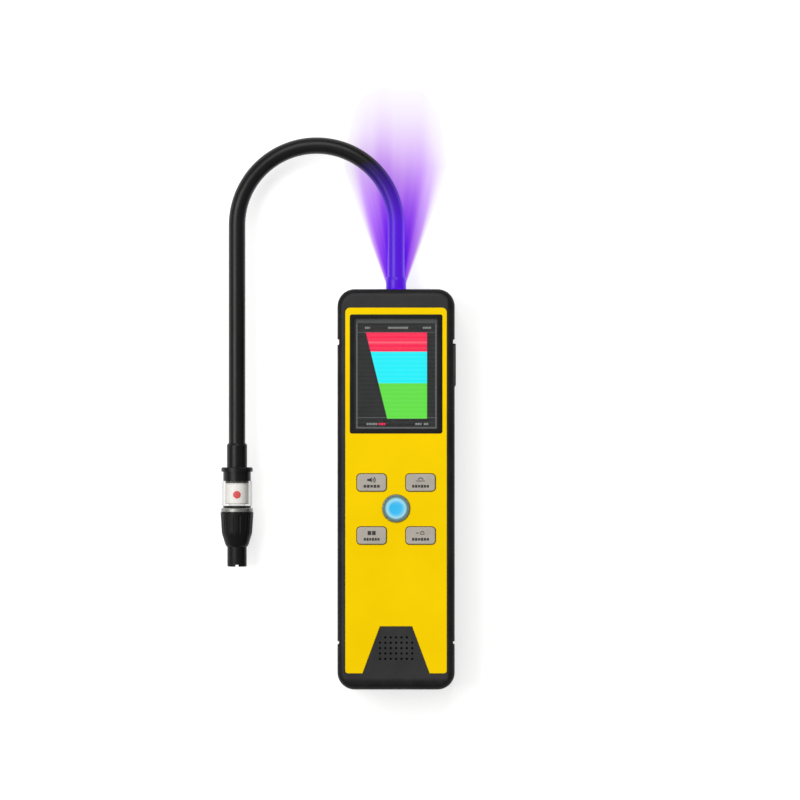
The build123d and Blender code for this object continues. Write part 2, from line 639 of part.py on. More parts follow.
def front_bosses():
    """Bosses that hang from the front plate: case screws, board screws and the speaker's wall."""
    bosses = []
    top = CEILING_Z + ROOT
    inner = extrude(Pos(0, 0, SPLIT_HEIGHT) * cavity_outline(-ROOT), amount=top - SPLIT_HEIGHT)
    for place in case_screw_places():
        boss = post(FRONT_BOSS_DIAMETER, SPLIT_HEIGHT, top, place)
        hole_top = CASE_SEAT_Z + CASE_SCREW_LENGTH + CASE_SCREW_SPARE
        boss -= post(CASE_SCREW_DIAMETER + 2 * SCREW_FIT, 0, hole_top, place)
        bosses.append(boss & inner)
    for place in board_screw_places():
        boss = post(BOARD_BOSS_DIAMETER, BOARD_TOP_Z, top, place)
        hole_top = BOARD_BOTTOM_Z + BOARD_SCREW_LENGTH + BOARD_SCREW_SPARE
        bosses.append(boss - post(BOARD_SCREW_DIAMETER + 2 * SCREW_FIT, 0, hole_top, place))
    centre = (0, SPEAKER_Y)
    inner_wall = SPEAKER_DIAMETER + 2 * SPEAKER_GAP
    ring = post(inner_wall + 2 * SPEAKER_WALL, CEILING_Z - SPEAKER_HEIGHT, top, centre)
    bosses.append(ring - post(inner_wall, 0, CEILING_Z, centre))
    return bosses


def grip_pocket(side, top_y):
    """The shallow recess of one grip in the front shell's side."""
    low = (HALF_WIDTH - GROOVE_DEPTH, GRIP_BOTTOM_Y - GRIP_GAP, GRIP_LOW_Z - GRIP_GAP)
    high = (HALF_WIDTH + CUT_PAST, top_y + GRIP_GAP, GRIP_HIGH_Z + GRIP_GAP)
    pocket = block(low, high)
    return pocket if side > 0 else mirror(pocket, about=Plane.YZ)


def port_pocket():
    """The pocket of the port cover, with its hinge barrel, pin holes and socket opening."""
    low_z = COVER_LOW_Z - COVER_GAP
    high_z = COVER_HIGH_Z + COVER_GAP
    pocket = block((POCKET_FLOOR_X, POCKET_LOW_Y, low_z), (BODY_WIDTH, COVER_TOP_Y + COVER_GAP, high_z))
    barrel = 2 * (COVER_OUTER_X - COVER_HINGE_X + 2 * COVER_GAP)
    hinge = (COVER_HINGE_X, COVER_HINGE_Y)
    pocket += post(barrel, low_z, high_z, hinge)
    pin_reach = COVER_PIN_LENGTH + COVER_GAP
    pocket += post(COVER_PIN_DIAMETER + 2 * COVER_PIN_FIT, low_z - pin_reach, high_z + pin_reach, hinge)
    mouth = socket_block(SOCKET_GAP)
    return pocket + mouth


def socket_block(grow):
    """The charging socket's outer form, grown all round, reaching out to the pocket's floor."""
    shape = RectangleRounded(SOCKET_WIDTH + 2 * grow, SOCKET_HEIGHT + 2 * grow, SOCKET_HEIGHT / 3 + grow)
    start = POCKET_FLOOR_X - SOCKET_LENGTH - grow
    plane = Plane(origin=(start, SOCKET_Y, SOCKET_Z), x_dir=(0, 1, 0), z_dir=(1, 0, 0))
    return extrude(plane * shape, amount=SOCKET_LENGTH + 2 * grow)


def front_openings():
    """Everything that passes through the front plate."""
    tools = []
    low = CEILING_Z - CUT_PAST
    high = FACE_Z + CUT_PAST
    size = (VIEW_WIDTH + LENS_LAP, VIEW_LENGTH + LENS_LAP, VIEW_CORNER)
    tools.append(rounded_block(*size, low, high, (0, WINDOW_CENTRE_Y)))
    for place in key_places().values():
        size = (KEY_WIDTH + 2 * KEY_SHELL_GAP, KEY_LENGTH + 2 * KEY_SHELL_GAP, KEY_CORNER)
        tools.append(rounded_block(*size, low, high, place))
    tools.append(post(RIM_INNER, low, high, (0, POWER_Y)))
    return tools + speaker_holes()


def front_shell():
    """The front half of the housing: it carries the panel, keys, board, speaker and port cover."""
    low = (-BODY_WIDTH, -BODY_LENGTH, SPLIT_HEIGHT)
    shell = housing_blank() & block(low, (BODY_WIDTH, BODY_LENGTH, BODY_DEPTH))
    shell -= cavity()
    shell += backing_block(0)
    shell += front_bosses()
    shell -= extrude(Pos(0, 0, SEAT_Z) * panel_outline(PANEL_GAP), amount=FRONT_WALL)
    shell -= grip_pocket(-1, GRIP_TOP_Y)
    shell -= grip_pocket(1, RIGHT_GRIP_TOP_Y)
    shell -= port_pocket()
    shell -= front_openings()
    lamp_hole = LAMP_LENS_DIAMETER + 2 * LAMP_HOLE_GAP
    shell -= bar(lamp_hole, INNER_END_Y - CUT_PAST, END_Y + CUT_PAST, 0, LAMP_Z)
    return shell - gland_hole()


def front_panel():
    """The yellow panel that fills the recess in the front."""
    panel = extrude(Pos(0, 0, SEAT_Z) * panel_outline(0), amount=PANEL_THICKNESS)
    panel = fillet(panel.edges().group_by(Axis.Z)[-1], PANEL_EDGE_ROUND)
    low = SEAT_Z - CUT_PAST
    high = PANEL_TOP_Z + CUT_PAST
    width = WINDOW_WIDTH + 2 * PANEL_GAP
    length = WINDOW_LENGTH + 2 * PANEL_GAP
    panel -= rounded_block(width, length, WINDOW_CORNER, low, high, (0, WINDOW_CENTRE_Y))
    for place in key_places().values():
        width = KEY_WIDTH + 2 * KEY_PANEL_GAP
        length = KEY_LENGTH + 2 * KEY_PANEL_GAP
        panel -= rounded_block(width, length, KEY_CORNER + KEY_PANEL_GAP, low, high, place)
    return panel - post(RIM_OUTER + 2 * PANEL_GAP, low, high, (0, POWER_Y))


def grip(side, top_y):
    """One rubber side grip with short grooves across it."""
    strip = block((HALF_WIDTH - GROOVE_DEPTH, GRIP_BOTTOM_Y, GRIP_LOW_Z), (HALF_WIDTH, top_y, GRIP_HIGH_Z))
    count = int((top_y - GRIP_BOTTOM_Y) / GRIP_RIB_PITCH) - 1
    middle = (top_y + GRIP_BOTTOM_Y) / 2
    for i in range(count):
        y = middle + (i - (count - 1) / 2) * GRIP_RIB_PITCH
        low = (HALF_WIDTH - GRIP_RIB_DEPTH, y - GRIP_RIB_GROOVE / 2, GRIP_LOW_Z - CUT_PAST)
        high = (HALF_WIDTH + CUT_PAST, y + GRIP_RIB_GROOVE / 2, GRIP_HIGH_Z + CUT_PAST)
        strip -= block(low, high)
    return strip if side > 0 else mirror(strip, about=Plane.YZ)


def window_frame():
    """The black frame round the display window."""
    centre = (0, WINDOW_CENTRE_Y)
    low = SEAT_Z - CUT_PAST
    top = SEAT_Z + WINDOW_FRAME_THICKNESS
    frame = rounded_block(WINDOW_WIDTH, WINDOW_LENGTH, WINDOW_CORNER, SEAT_Z, top, centre)
    frame = fillet(frame.edges().group_by(Axis.Z)[-1], PANEL_EDGE_ROUND)
    frame -= rounded_block(VIEW_WIDTH, VIEW_LENGTH, VIEW_CORNER, low, top + CUT_PAST, centre)
    lap = LENS_LAP + LENS_GAP
    rebate = (VIEW_WIDTH + 2 * lap, VIEW_LENGTH + 2 * lap, VIEW_CORNER + LENS_GAP)
    return frame - rounded_block(*rebate, low, SEAT_Z + LENS_THICKNESS, centre)


def display_window():
    """The clear window under the frame's edge."""
    size = (VIEW_WIDTH + 2 * LENS_LAP, VIEW_LENGTH + 2 * LENS_LAP, VIEW_CORNER)
    return rounded_block(*size, SEAT_Z, SEAT_Z + LENS_THICKNESS, (0, WINDOW_CENTRE_Y))


def display_panel():
    """The colour display under the front plate."""
    size = (DISPLAY_WIDTH, DISPLAY_LENGTH, DISPLAY_CORNER)
    return rounded_block(*size, CEILING_Z - DISPLAY_THICKNESS, CEILING_Z, (0, DISPLAY_CENTRE_Y))


def display_tray():
    """The frame that holds the display off the main board."""
    centre = (0, DISPLAY_CENTRE_Y)
    top = CEILING_Z - DISPLAY_THICKNESS
    tray = rounded_block(DISPLAY_WIDTH, DISPLAY_LENGTH, DISPLAY_CORNER, BOARD_TOP_Z, top, centre)
    inside = (DISPLAY_WIDTH - 2 * TRAY_WALL, DISPLAY_LENGTH - 2 * TRAY_WALL, DISPLAY_CORNER)
    return tray - rounded_block(*inside, 0, BODY_DEPTH, centre)


def key(place):
    """One key cap with its retaining flange and its stem."""
    flange_top = CEILING_Z - KEY_FLANGE_GAP
    flange_low = flange_top - KEY_FLANGE_THICKNESS
    top = PANEL_TOP_Z + KEY_STAND_PROUD
    cap = rounded_block(KEY_WIDTH, KEY_LENGTH, KEY_CORNER, flange_low, top, place)
    cap = fillet(cap.edges().group_by(Axis.Z)[-1], KEY_EDGE_ROUND)
    lap = 2 * KEY_FLANGE_LAP
    cap += rounded_block(KEY_WIDTH + lap, KEY_LENGTH + lap, KEY_CORNER, flange_low, flange_top, place)
    return cap + post(STEM_DIAMETER, PLUNGER_TOP_Z, flange_low + ROOT, place)


def power_rim():
    """The metal rim round the power button."""
    rim = post(RIM_OUTER, SEAT_Z, PANEL_TOP_Z + RIM_STAND_PROUD, (0, POWER_Y))
    rim = fillet(rim.edges().group_by(Axis.Z)[-1], RIM_EDGE_ROUND)
    return rim - post(RIM_INNER, 0, PANEL_TOP_Z + RIM_STAND_PROUD + CUT_PAST, (0, POWER_Y))


def power_light_ring():
    """The clear ring that glows round the power button, with its flange under the plate."""
    centre = (0, POWER_Y)
    top = PANEL_TOP_Z + LIGHT_RING_STAND_PROUD
    ring = post(LIGHT_RING_OUTER, CEILING_Z - LIGHT_FLANGE_THICKNESS, top, centre)
    flange = LIGHT_RING_OUTER + 2 * LIGHT_FLANGE_LAP
    ring += post(flange, CEILING_Z - LIGHT_FLANGE_THICKNESS, CEILING_Z, centre)
    return ring - post(LIGHT_RING_INNER, 0, top + CUT_PAST, centre)


def power_button():
    """The blue button with a dished top, a flange and a stem."""
    centre = (0, POWER_Y)
    top = PANEL_TOP_Z + POWER_BUTTON_STAND_PROUD
    flange_top = CEILING_Z - LIGHT_FLANGE_THICKNESS - KEY_FLANGE_GAP
    flange_low = flange_top - POWER_FLANGE_THICKNESS
    button = post(POWER_BUTTON_DIAMETER, flange_low, top, centre)
    button = fillet(button.edges().group_by(Axis.Z)[-1], POWER_DISH_DEPTH)
    button += post(POWER_FLANGE_DIAMETER, flange_low, flange_top, centre)
    dish_z = top + POWER_DISH_RADIUS - POWER_DISH_DEPTH
    button -= Pos(0, POWER_Y, dish_z) * Sphere(POWER_DISH_RADIUS)
    return button + post(STEM_DIAMETER, PLUNGER_TOP_Z, flange_low + ROOT, centre)


def main_board():
    """The circuit board, notched at the middle case screws."""
    centre_y = (BOARD_TOP_Y + BOARD_BOTTOM_Y) / 2
    length = BOARD_TOP_Y - BOARD_BOTTOM_Y
    board = rounded_block(BOARD_WIDTH, length, BOARD_CORNER, BOARD_BOTTOM_Z, BOARD_TOP_Z, (0, centre_y))
    for place in case_screw_places():
        board -= post(FRONT_BOSS_DIAMETER + 2 * BOARD_BOSS_GAP, 0, BODY_DEPTH, place)
    for place in board_screw_places():
        board -= post(BOARD_SCREW_DIAMETER + 2 * BOARD_HOLE_GAP, 0, BODY_DEPTH, place)
    return board


def tact_switches():
    """The five switch bodies on the board."""
    switches = []
    for place in switch_places():
        body = rounded_block(SWITCH_SIZE, SWITCH_SIZE, SWITCH_CORNER, BOARD_TOP_Z, SWITCH_TOP_Z, place)
        hole = PLUNGER_DIAMETER + 2 * PLUNGER_GAP
        body -= post(hole, SWITCH_TOP_Z - SWITCH_HOLE_DEPTH, BODY_DEPTH, place)
        switches.append(body)
    return Compound(children=switches)


def plunger(place):
    """The moving plunger of one switch."""
    low = SWITCH_TOP_Z - SWITCH_HOLE_DEPTH + PLUNGER_REST_GAP
    return post(PLUNGER_DIAMETER, low, PLUNGER_TOP_Z, place)


def screw(diameter, length, head, head_height, seat_z, place):
    """A pan-head screw whose head lies under its seat, with a cross recess."""
    shank = post(diameter, seat_z - ROOT, seat_z + length, place)
    low = seat_z - head_height
    cap = post(head, low, seat_z, place)
    cap = fillet(cap.edges().group_by(Axis.Z)[0], head_height * HEAD_ROUND_SHARE)
    slot_length = head * CROSS_LENGTH_SHARE
    slot_width = head * CROSS_WIDTH_SHARE
    cap -= Pos(place[0], place[1], low) * Box(slot_length, slot_width, head_height)
    cap -= Pos(place[0], place[1], low) * Box(slot_width, slot_length, head_height)
    return shank + cap


def case_screws():
    """The six screws that hold the shells together, driven in from the back."""
    sizes = (CASE_SCREW_DIAMETER, CASE_SCREW_LENGTH, CASE_SCREW_HEAD, CASE_SCREW_HEAD_HEIGHT)
    return Compound(children=[screw(*sizes, CASE_SEAT_Z, place) for place in case_screw_places()])


def board_screws():
    """The six screws that hold the board to the front shell."""
    sizes = (BOARD_SCREW_DIAMETER, BOARD_SCREW_LENGTH, BOARD_SCREW_HEAD, BOARD_SCREW_HEAD_HEIGHT)
    return Compound(children=[screw(*sizes, BOARD_BOTTOM_Z, place) for place in board_screw_places()])


def mesh_size():
    """The speaker mesh's width and length, a margin round the holes."""
    width = (HOLE_COLUMNS - 1) * HOLE_PITCH + 2 * MESH_MARGIN
    length = (HOLE_ROWS - 1) * HOLE_PITCH + 2 * MESH_MARGIN
    return width, length


def speaker_mesh():
    """The dust mesh behind the speaker holes, cut to the speaker's round."""
    centre = (0, SPEAKER_Y)
    gauze = rounded_block(*mesh_size(), MESH_CORNER, CEILING_Z - MESH_THICKNESS, CEILING_Z, centre)
    return gauze & post(SPEAKER_DIAMETER, 0, BODY_DEPTH, centre)


def speaker():
    """The round speaker with its magnet at the back."""
    centre = (0, SPEAKER_Y)
    top = CEILING_Z - MESH_THICKNESS
    low = top - SPEAKER_HEIGHT
    return post(SPEAKER_DIAMETER, low, top, centre) + post(MAGNET_DIAMETER, low - MAGNET_HEIGHT, low, centre)


def usb_socket():
    """The charging socket on the board's underside, with its tongue."""
    shell = socket_block(0)
    mouth_width = SOCKET_WIDTH - 2 * SOCKET_SHELL
    mouth_height = SOCKET_HEIGHT - 2 * SOCKET_SHELL
    shape = RectangleRounded(mouth_width, mouth_height, mouth_height / 3)
    plane = Plane(origin=(POCKET_FLOOR_X, SOCKET_Y, SOCKET_Z), x_dir=(0, 1, 0), z_dir=(-1, 0, 0))
    shell -= extrude(plane * shape, amount=SOCKET_DEPTH)
    low = (POCKET_FLOOR_X - SOCKET_DEPTH - ROOT, SOCKET_Y - TONGUE_WIDTH / 2, SOCKET_Z - TONGUE_THICKNESS / 2)
    high = (POCKET_FLOOR_X - TONGUE_SETBACK, SOCKET_Y + TONGUE_WIDTH / 2, SOCKET_Z + TONGUE_THICKNESS / 2)
    return shell + block(low, high)


def port_cover():
    """The port cover: a plate with a hinge barrel at its lower end and a plug on its inside."""
    hinge = (COVER_HINGE_X, COVER_HINGE_Y)
    barrel = 2 * (COVER_OUTER_X - COVER_HINGE_X)
    plate = block((COVER_INNER_X, COVER_HINGE_Y, COVER_LOW_Z), (COVER_OUTER_X, COVER_TOP_Y, COVER_HIGH_Z))
    plate = fillet(plate.edges().filter_by(Axis.X).group_by(Axis.Y)[-1], COVER_CORNER)
    plate = fillet(plate.faces().sort_by(Axis.X)[-1].edges().filter_by(Axis.Y), COVER_EDGE_ROUND)
    plate += post(barrel, COVER_LOW_Z, COVER_HIGH_Z, hinge)
    pin_low = COVER_LOW_Z - COVER_PIN_LENGTH
    pin_high = COVER_HIGH_Z + COVER_PIN_LENGTH
    plate += post(COVER_PIN_DIAMETER, pin_low, pin_high, hinge)
    plug = (PLUG_LENGTH, PLUG_WIDTH, PLUG_HEIGHT)
    return plate + Pos(COVER_INNER_X - PLUG_LENGTH / 2, SOCKET_Y, SOCKET_Z) * Box(*plug)


def neck_path(start_y, end_y):
    """The gooseneck's centre line: straight up, half a turn to the left, straight down."""
    top = NECK_STRAIGHT_END_Y
    up = Line((0, start_y, NECK_Z), (0, top, NECK_Z))
    crest = (-NECK_BEND_RADIUS, top + NECK_BEND_RADIUS, NECK_Z)
    bend = ThreePointArc((0, top, NECK_Z), crest, (HEAD_X, top, NECK_Z))
    down = Line((HEAD_X, top, NECK_Z), (HEAD_X, end_y, NECK_Z))
    return Wire([up, bend, down])


def neck_sheath():
    """The rubber sheath of the gooseneck."""
    return tube_along(neck_path(NECK_START_Y, NECK_END_Y), NECK_DIAMETER, NECK_DIAMETER - 2 * SHEATH_WALL)


def neck_spine():
    """The bendable metal tube inside the sheath."""
    return tube_along(neck_path(NECK_START_Y, NECK_END_Y), SPINE_DIAMETER, SPINE_DIAMETER - 2 * SPINE_WALL)


def sample_tube():
    """The tube that carries the sampled air from the probe head to the infrared cell."""
    port_y = IR_HIGH_Y - IR_PORT_SETBACK
    corner = (0, port_y, NECK_Z)
    end = (IR_X - IR_DIAMETER / 2, port_y, NECK_Z)
    turn = FilletPolyline(end, corner, (0, GLAND_TAIL_END_Y, NECK_Z), radius=HOSE_BEND_RADIUS)
    neck = neck_path(GLAND_TAIL_END_Y, COLLAR_TOP_Y + TUBE_FAR_GRIP)
    return tube_along(Wire([*turn.edges(), *neck.edges()]), TUBE_DIAMETER, TUBE_BORE)


def neck_gland():
    """The gland that the two shells clamp, with the neck's end in its bore."""
    outer = GLAND_COLLAR_DIAMETER / 2
    waist = GLAND_WAIST_DIAMETER / 2
    flange = GLAND_FLANGE_DIAMETER / 2
    tail = GLAND_TAIL_DIAMETER / 2
    seat = NECK_DIAMETER / 2 + NECK_SEAT_GAP
    bore = TUBE_DIAMETER / 2 + NECK_SEAT_GAP
    flange_top = INNER_END_Y - GLAND_WALL_GAP
    flange_low = flange_top - GLAND_FLANGE_THICKNESS
    collar_low = END_Y + GLAND_WALL_GAP
    collar_top = END_Y + GLAND_COLLAR_LENGTH
    corners = [(bore, GLAND_TAIL_END_Y), (tail, GLAND_TAIL_END_Y), (tail, flange_low), (flange, flange_low),
               (flange, flange_top), (waist, flange_top), (waist, collar_low), (outer, collar_low),
               (outer, collar_top - GLAND_COLLAR_CHAMFER), (outer - GLAND_COLLAR_TAPER, collar_top),
               (seat, collar_top), (seat, NECK_START_Y), (bore, NECK_START_Y)]
    return turned(corners, 0, NECK_Z)


def neck_nut():
    """The hexagon nut on the gland's tail, inside the housing."""
    plane = Plane(origin=(0, GLAND_TAIL_END_Y + NUT_SETBACK, NECK_Z), x_dir=(1, 0, 0), z_dir=(0, 1, 0))
    shape = RegularPolygon(NUT_ACROSS_FLATS / 2, side_count=6, major_radius=False)
    return extrude(plane * (shape - Circle(GLAND_TAIL_DIAMETER / 2 + NUT_FIT)), amount=NUT_THICKNESS)


def uv_lamp_lens():
    """The lamp's lens in the top end wall."""
    radius = LAMP_LENS_DIAMETER / 2
    flange = LAMP_LENS_FLANGE / 2
    cone = LAMP_CONE_DIAMETER / 2
    step = INNER_END_Y - LAMP_FLANGE_THICKNESS
    corners = [(0, LAMP_BACK_Y), (cone, LAMP_BACK_Y), (cone, step), (flange, step), (flange, INNER_END_Y),
               (radius, INNER_END_Y), (radius, END_Y)]
    outline = Polyline(*corners)
    dome = TangentArc((0, END_Y + LAMP_DOME_HEIGHT), (radius, END_Y), tangent=(1, 0))
    axis_line = Line((0, END_Y + LAMP_DOME_HEIGHT), (0, LAMP_BACK_Y))
    profile = make_face([*outline.edges(), *dome.edges(), *axis_line.edges()])
    return Pos(0, 0, LAMP_Z) * revolve(profile, axis=Axis.Y)


def uv_emitter():
    """The ultraviolet emitter on its board."""
    half = EMITTER_SIZE / 2
    return block((-half, LAMP_BACK_Y - EMITTER_HEIGHT, LAMP_Z - half), (half, LAMP_BACK_Y, LAMP_Z + half))


def uv_lamp_board():
    """The small board behind the ultraviolet emitter."""
    front = LAMP_BACK_Y - EMITTER_HEIGHT
    half_x = LAMP_BOARD_WIDTH / 2
    half_z = LAMP_BOARD_HEIGHT / 2
    low = (-half_x, front - LAMP_BOARD_THICKNESS, LAMP_Z - half_z)
    return block(low, (half_x, front, LAMP_Z + half_z))


def tip_sleeve():
    """The sleeve that the neck's far end sits in."""
    outer = SLEEVE_DIAMETER / 2
    seat = NECK_DIAMETER / 2 + SLEEVE_BORE_GAP
    bore = TUBE_DIAMETER / 2 + SLEEVE_BORE_GAP
    seat_end = NECK_END_Y - SLEEVE_BORE_GAP
    corners = [(bore, COLLAR_TOP_Y), (outer, COLLAR_TOP_Y), (outer, SLEEVE_TOP_Y - SLEEVE_TAPER_LENGTH),
               (outer - SLEEVE_TAPER, SLEEVE_TOP_Y), (seat, SLEEVE_TOP_Y), (seat, seat_end), (bore, seat_end)]
    return turned(corners, HEAD_X, NECK_Z)


def probe_collar():
    """The turned collar between the sleeve and the filter chamber."""
    flange = COLLAR_FLANGE_DIAMETER / 2
    body = COLLAR_DIAMETER / 2
    spigot = CHAMBER_DIAMETER / 2 - CHAMBER_WALL - COLLAR_SPIGOT_GAP
    bore = TUBE_BORE / 2
    step = COLLAR_TOP_Y - COLLAR_FLANGE_LENGTH
    spigot_end = CHAMBER_TOP_Y - COLLAR_SPIGOT_LENGTH
    corners = [(bore, spigot_end), (spigot, spigot_end), (spigot, CHAMBER_TOP_Y), (body, CHAMBER_TOP_Y),
               (body, step), (flange, step), (flange, COLLAR_TOP_Y - COLLAR_FLANGE_CHAMFER),
               (flange - COLLAR_FLANGE_CHAMFER, COLLAR_TOP_Y), (bore, COLLAR_TOP_Y)]
    return turned(corners, HEAD_X, NECK_Z)


def filter_chamber():
    """The clear chamber with the threaded spigot that the nozzle screws onto."""
    outer = CHAMBER_DIAMETER / 2
    inner = outer - CHAMBER_WALL
    spigot = SPIGOT_DIAMETER / 2
    bore = SPIGOT_BORE / 2
    floor = CHAMBER_BOTTOM_Y + CHAMBER_FLOOR
    end = CHAMBER_BOTTOM_Y - SPIGOT_LENGTH
    corners = [(inner, CHAMBER_TOP_Y), (outer, CHAMBER_TOP_Y), (outer, CHAMBER_BOTTOM_Y),
               (spigot, CHAMBER_BOTTOM_Y), (spigot, end), (bore, end), (bore, floor), (inner, floor)]
    return turned(corners, HEAD_X, NECK_Z)


def filter_element():
    """The white filter that rests in the chamber."""
    outer = FILTER_DIAMETER / 2
    bore = FILTER_BORE / 2
    top = CHAMBER_TOP_Y - COLLAR_SPIGOT_LENGTH
    floor = CHAMBER_BOTTOM_Y + CHAMBER_FLOOR
    chamfer_inner = outer - FILTER_CHAMFER
    corners = [(bore, top), (chamfer_inner, top), (outer, top - FILTER_CHAMFER),
               (outer, floor + FILTER_CHAMFER), (chamfer_inner, floor), (bore, floor)]
    return turned(corners, HEAD_X, NECK_Z)


def filter_marker():
    """The red marker on the filter's side."""
    outer = FILTER_DIAMETER + 2 * MARKER_THICKNESS
    shell = bar(outer, CHAMBER_BOTTOM_Y, CHAMBER_TOP_Y, HEAD_X, NECK_Z)
    shell -= bar(FILTER_DIAMETER, CHAMBER_BOTTOM_Y - CUT_PAST, CHAMBER_TOP_Y + CUT_PAST, HEAD_X, NECK_Z)
    return shell & post(MARKER_DIAMETER, NECK_Z, NECK_Z + outer, (HEAD_X, MARKER_Y))


def seal_ring():
    """The rubber ring between the chamber and the silver ring."""
    section = SEAL_SECTION / 2
    centre_y = CHAMBER_BOTTOM_Y - section
    profile = Pos(SPIGOT_DIAMETER / 2 + section, centre_y) * Circle(section)
    return Pos(HEAD_X, 0, NECK_Z) * revolve(profile, axis=Axis.Y)


def clamp_ring():
    """The silver ring above the nozzle. It travels with the nozzle and doesn't turn with it."""
    outer = RING_DIAMETER / 2
    inner = SPIGOT_DIAMETER / 2 + NOZZLE_FIT
    c = RING_CHAMFER
    corners = [(inner, NOZZLE_TOP_Y), (outer - c, NOZZLE_TOP_Y), (outer, NOZZLE_TOP_Y + c),
               (outer, RING_TOP_Y - c), (outer - c, RING_TOP_Y), (inner, RING_TOP_Y)]
    return turned(corners, HEAD_X, NECK_Z)


def nozzle():
    """The black nozzle: a slightly tapered, fluted grip that rounds in to the inlet tip."""
    bore = SPIGOT_DIAMETER / 2 + NOZZLE_FIT
    throat = NOZZLE_THROAT_DIAMETER / 2
    seat_y = NOZZLE_TOP_Y - NOZZLE_SEAT_DEPTH
    cone_end = TIP_TOP_Y + TIP_SPIGOT_LENGTH
    rim = (NOZZLE_TOP_DIAMETER / 2, NOZZLE_TOP_Y)
    waist = (NOZZLE_WAIST_DIAMETER / 2, NOZZLE_TOP_Y - NOZZLE_WAIST_DROP)
    shoulder = (NOZZLE_SHOULDER_DIAMETER / 2, NOZZLE_TOP_Y - NOZZLE_SHOULDER_DROP)
    end = (NOZZLE_END_DIAMETER / 2, TIP_TOP_Y)
    side = Line(rim, waist)
    nose = Spline(waist, shoulder, end, tangents=[side % 1, Vector(-1, -1)])
    inside = Polyline(end, (throat, TIP_TOP_Y), (throat, cone_end), (bore - NOZZLE_SEAT_STEP, seat_y),
                      (bore, seat_y), (bore, NOZZLE_TOP_Y), rim)
    profile = make_face([*side.edges(), *nose.edges(), *inside.edges()])
    body = Pos(HEAD_X, 0, NECK_Z) * revolve(profile, axis=Axis.Y)
    return body - nozzle_flutes()


def nozzle_flutes():
    """Round cutters for the shallow flutes down the nozzle's side."""
    lift = (NOZZLE_FLUTE_DIAMETER / 2) - NOZZLE_FLUTE_DEPTH
    taper = (NOZZLE_TOP_DIAMETER - NOZZLE_WAIST_DIAMETER) / 2
    lean = degrees(atan2(taper, NOZZLE_WAIST_DROP))
    length = NOZZLE_LENGTH - NOZZLE_FLUTE_MARGIN
    cutters = []
    for i in range(NOZZLE_FLUTES):
        cutter = Pos(0, -NOZZLE_FLUTE_MARGIN - length / 2, 0) * Rot(90, 0, 0) * flute_cutter(length)
        leaning = Pos(NOZZLE_TOP_DIAMETER / 2 + lift, 0, 0) * Rot(0, 0, -lean) * cutter
        cutters.append(Pos(HEAD_X, NOZZLE_TOP_Y, NECK_Z) * Rot(0, 360 * i / NOZZLE_FLUTES, 0) * leaning)
    return cutters


def flute_cutter(length):
    """One flute's cutter, upright about the origin."""
    return Cylinder(NOZZLE_FLUTE_DIAMETER / 2, length)


def inlet_tip():
    """The inlet tube at the nozzle's end, with a screwdriver slot across its mouth."""
    outer = TIP_DIAMETER / 2
    spigot = NOZZLE_THROAT_DIAMETER / 2
    bore = TIP_BORE / 2
    spigot_end = TIP_TOP_Y + TIP_SPIGOT_LENGTH
    corners = [(bore, TIP_END_Y), (outer - TIP_CHAMFER, TIP_END_Y), (outer, TIP_END_Y + TIP_CHAMFER),
               (outer, TIP_TOP_Y), (spigot, TIP_TOP_Y), (spigot, spigot_end), (bore, spigot_end)]
    tip = turned(corners, HEAD_X, NECK_Z)
    return tip - Pos(HEAD_X, TIP_END_Y, NECK_Z) * Box(TIP_SLOT_WIDTH, 2 * TIP_SLOT_DEPTH, 2 * TIP_DIAMETER)


def battery_cell():
    """The round rechargeable cell."""
    low = CELL_CENTRE_Y - CELL_LENGTH / 2
    high = CELL_CENTRE_Y + CELL_LENGTH / 2
    can = bar(CELL_DIAMETER, low, high - CELL_NUB_HEIGHT, CELL_X, CELL_Z)
    return can + bar(CELL_NUB_DIAMETER, high - CELL_NUB_HEIGHT - ROOT, high, CELL_X, CELL_Z)


def battery_cradle():
    """The tray that the cell lies in."""
    half_x = CELL_DIAMETER / 2 + CELL_FIT + CRADLE_WALL
    half_y = CELL_LENGTH / 2 + CONTACT_THICKNESS
    low = (CELL_X - half_x, CELL_CENTRE_Y - half_y - CRADLE_END, BACK_WALL)
    high = (CELL_X + half_x, CELL_CENTRE_Y + half_y + CRADLE_END, BACK_WALL + CRADLE_HEIGHT)
    cradle = block(low, high)
    space = CELL_DIAMETER + 2 * CELL_FIT
    return cradle - bar(space, CELL_CENTRE_Y - half_y, CELL_CENTRE_Y + half_y, CELL_X, CELL_Z)


def battery_contacts():
    """The two metal contacts at the cell's ends."""
    contacts = []
    for side in (-1, 1):
        face = CELL_CENTRE_Y + side * CELL_LENGTH / 2
        centre = Pos(CELL_X, face + side * CONTACT_THICKNESS / 2, CELL_Z)
        contacts.append(centre * Box(CONTACT_WIDTH, CONTACT_THICKNESS, CONTACT_HEIGHT))
    return Compound(children=contacts)


def pump_head():
    """The pump's diaphragm head with its two ports."""
    half = PUMP_HEAD_WIDTH / 2
    low = (PUMP_X - half, PUMP_HEAD_TOP_Y - PUMP_HEAD_LENGTH, BACK_WALL)
    high = (PUMP_X + half, PUMP_HEAD_TOP_Y, BACK_WALL + PUMP_HEAD_HEIGHT)
    head = block(low, high)
    head = fillet(head.edges().filter_by(Axis.Y), PUMP_HEAD_CORNER)
    port_end = PUMP_HEAD_TOP_Y + NIPPLE_LENGTH
    for x, z in ((PUMP_X - PUMP_PORT_SPACING / 2, NECK_Z), (PUMP_X + PUMP_PORT_SPACING / 2, EXHAUST_Z)):
        head += bar(NIPPLE_DIAMETER, PUMP_HEAD_TOP_Y - ROOT, port_end, x, z)
        head -= bar(NIPPLE_BORE, PUMP_HEAD_TOP_Y - PUMP_PORT_DEPTH, port_end + CUT_PAST, x, z)
    return head


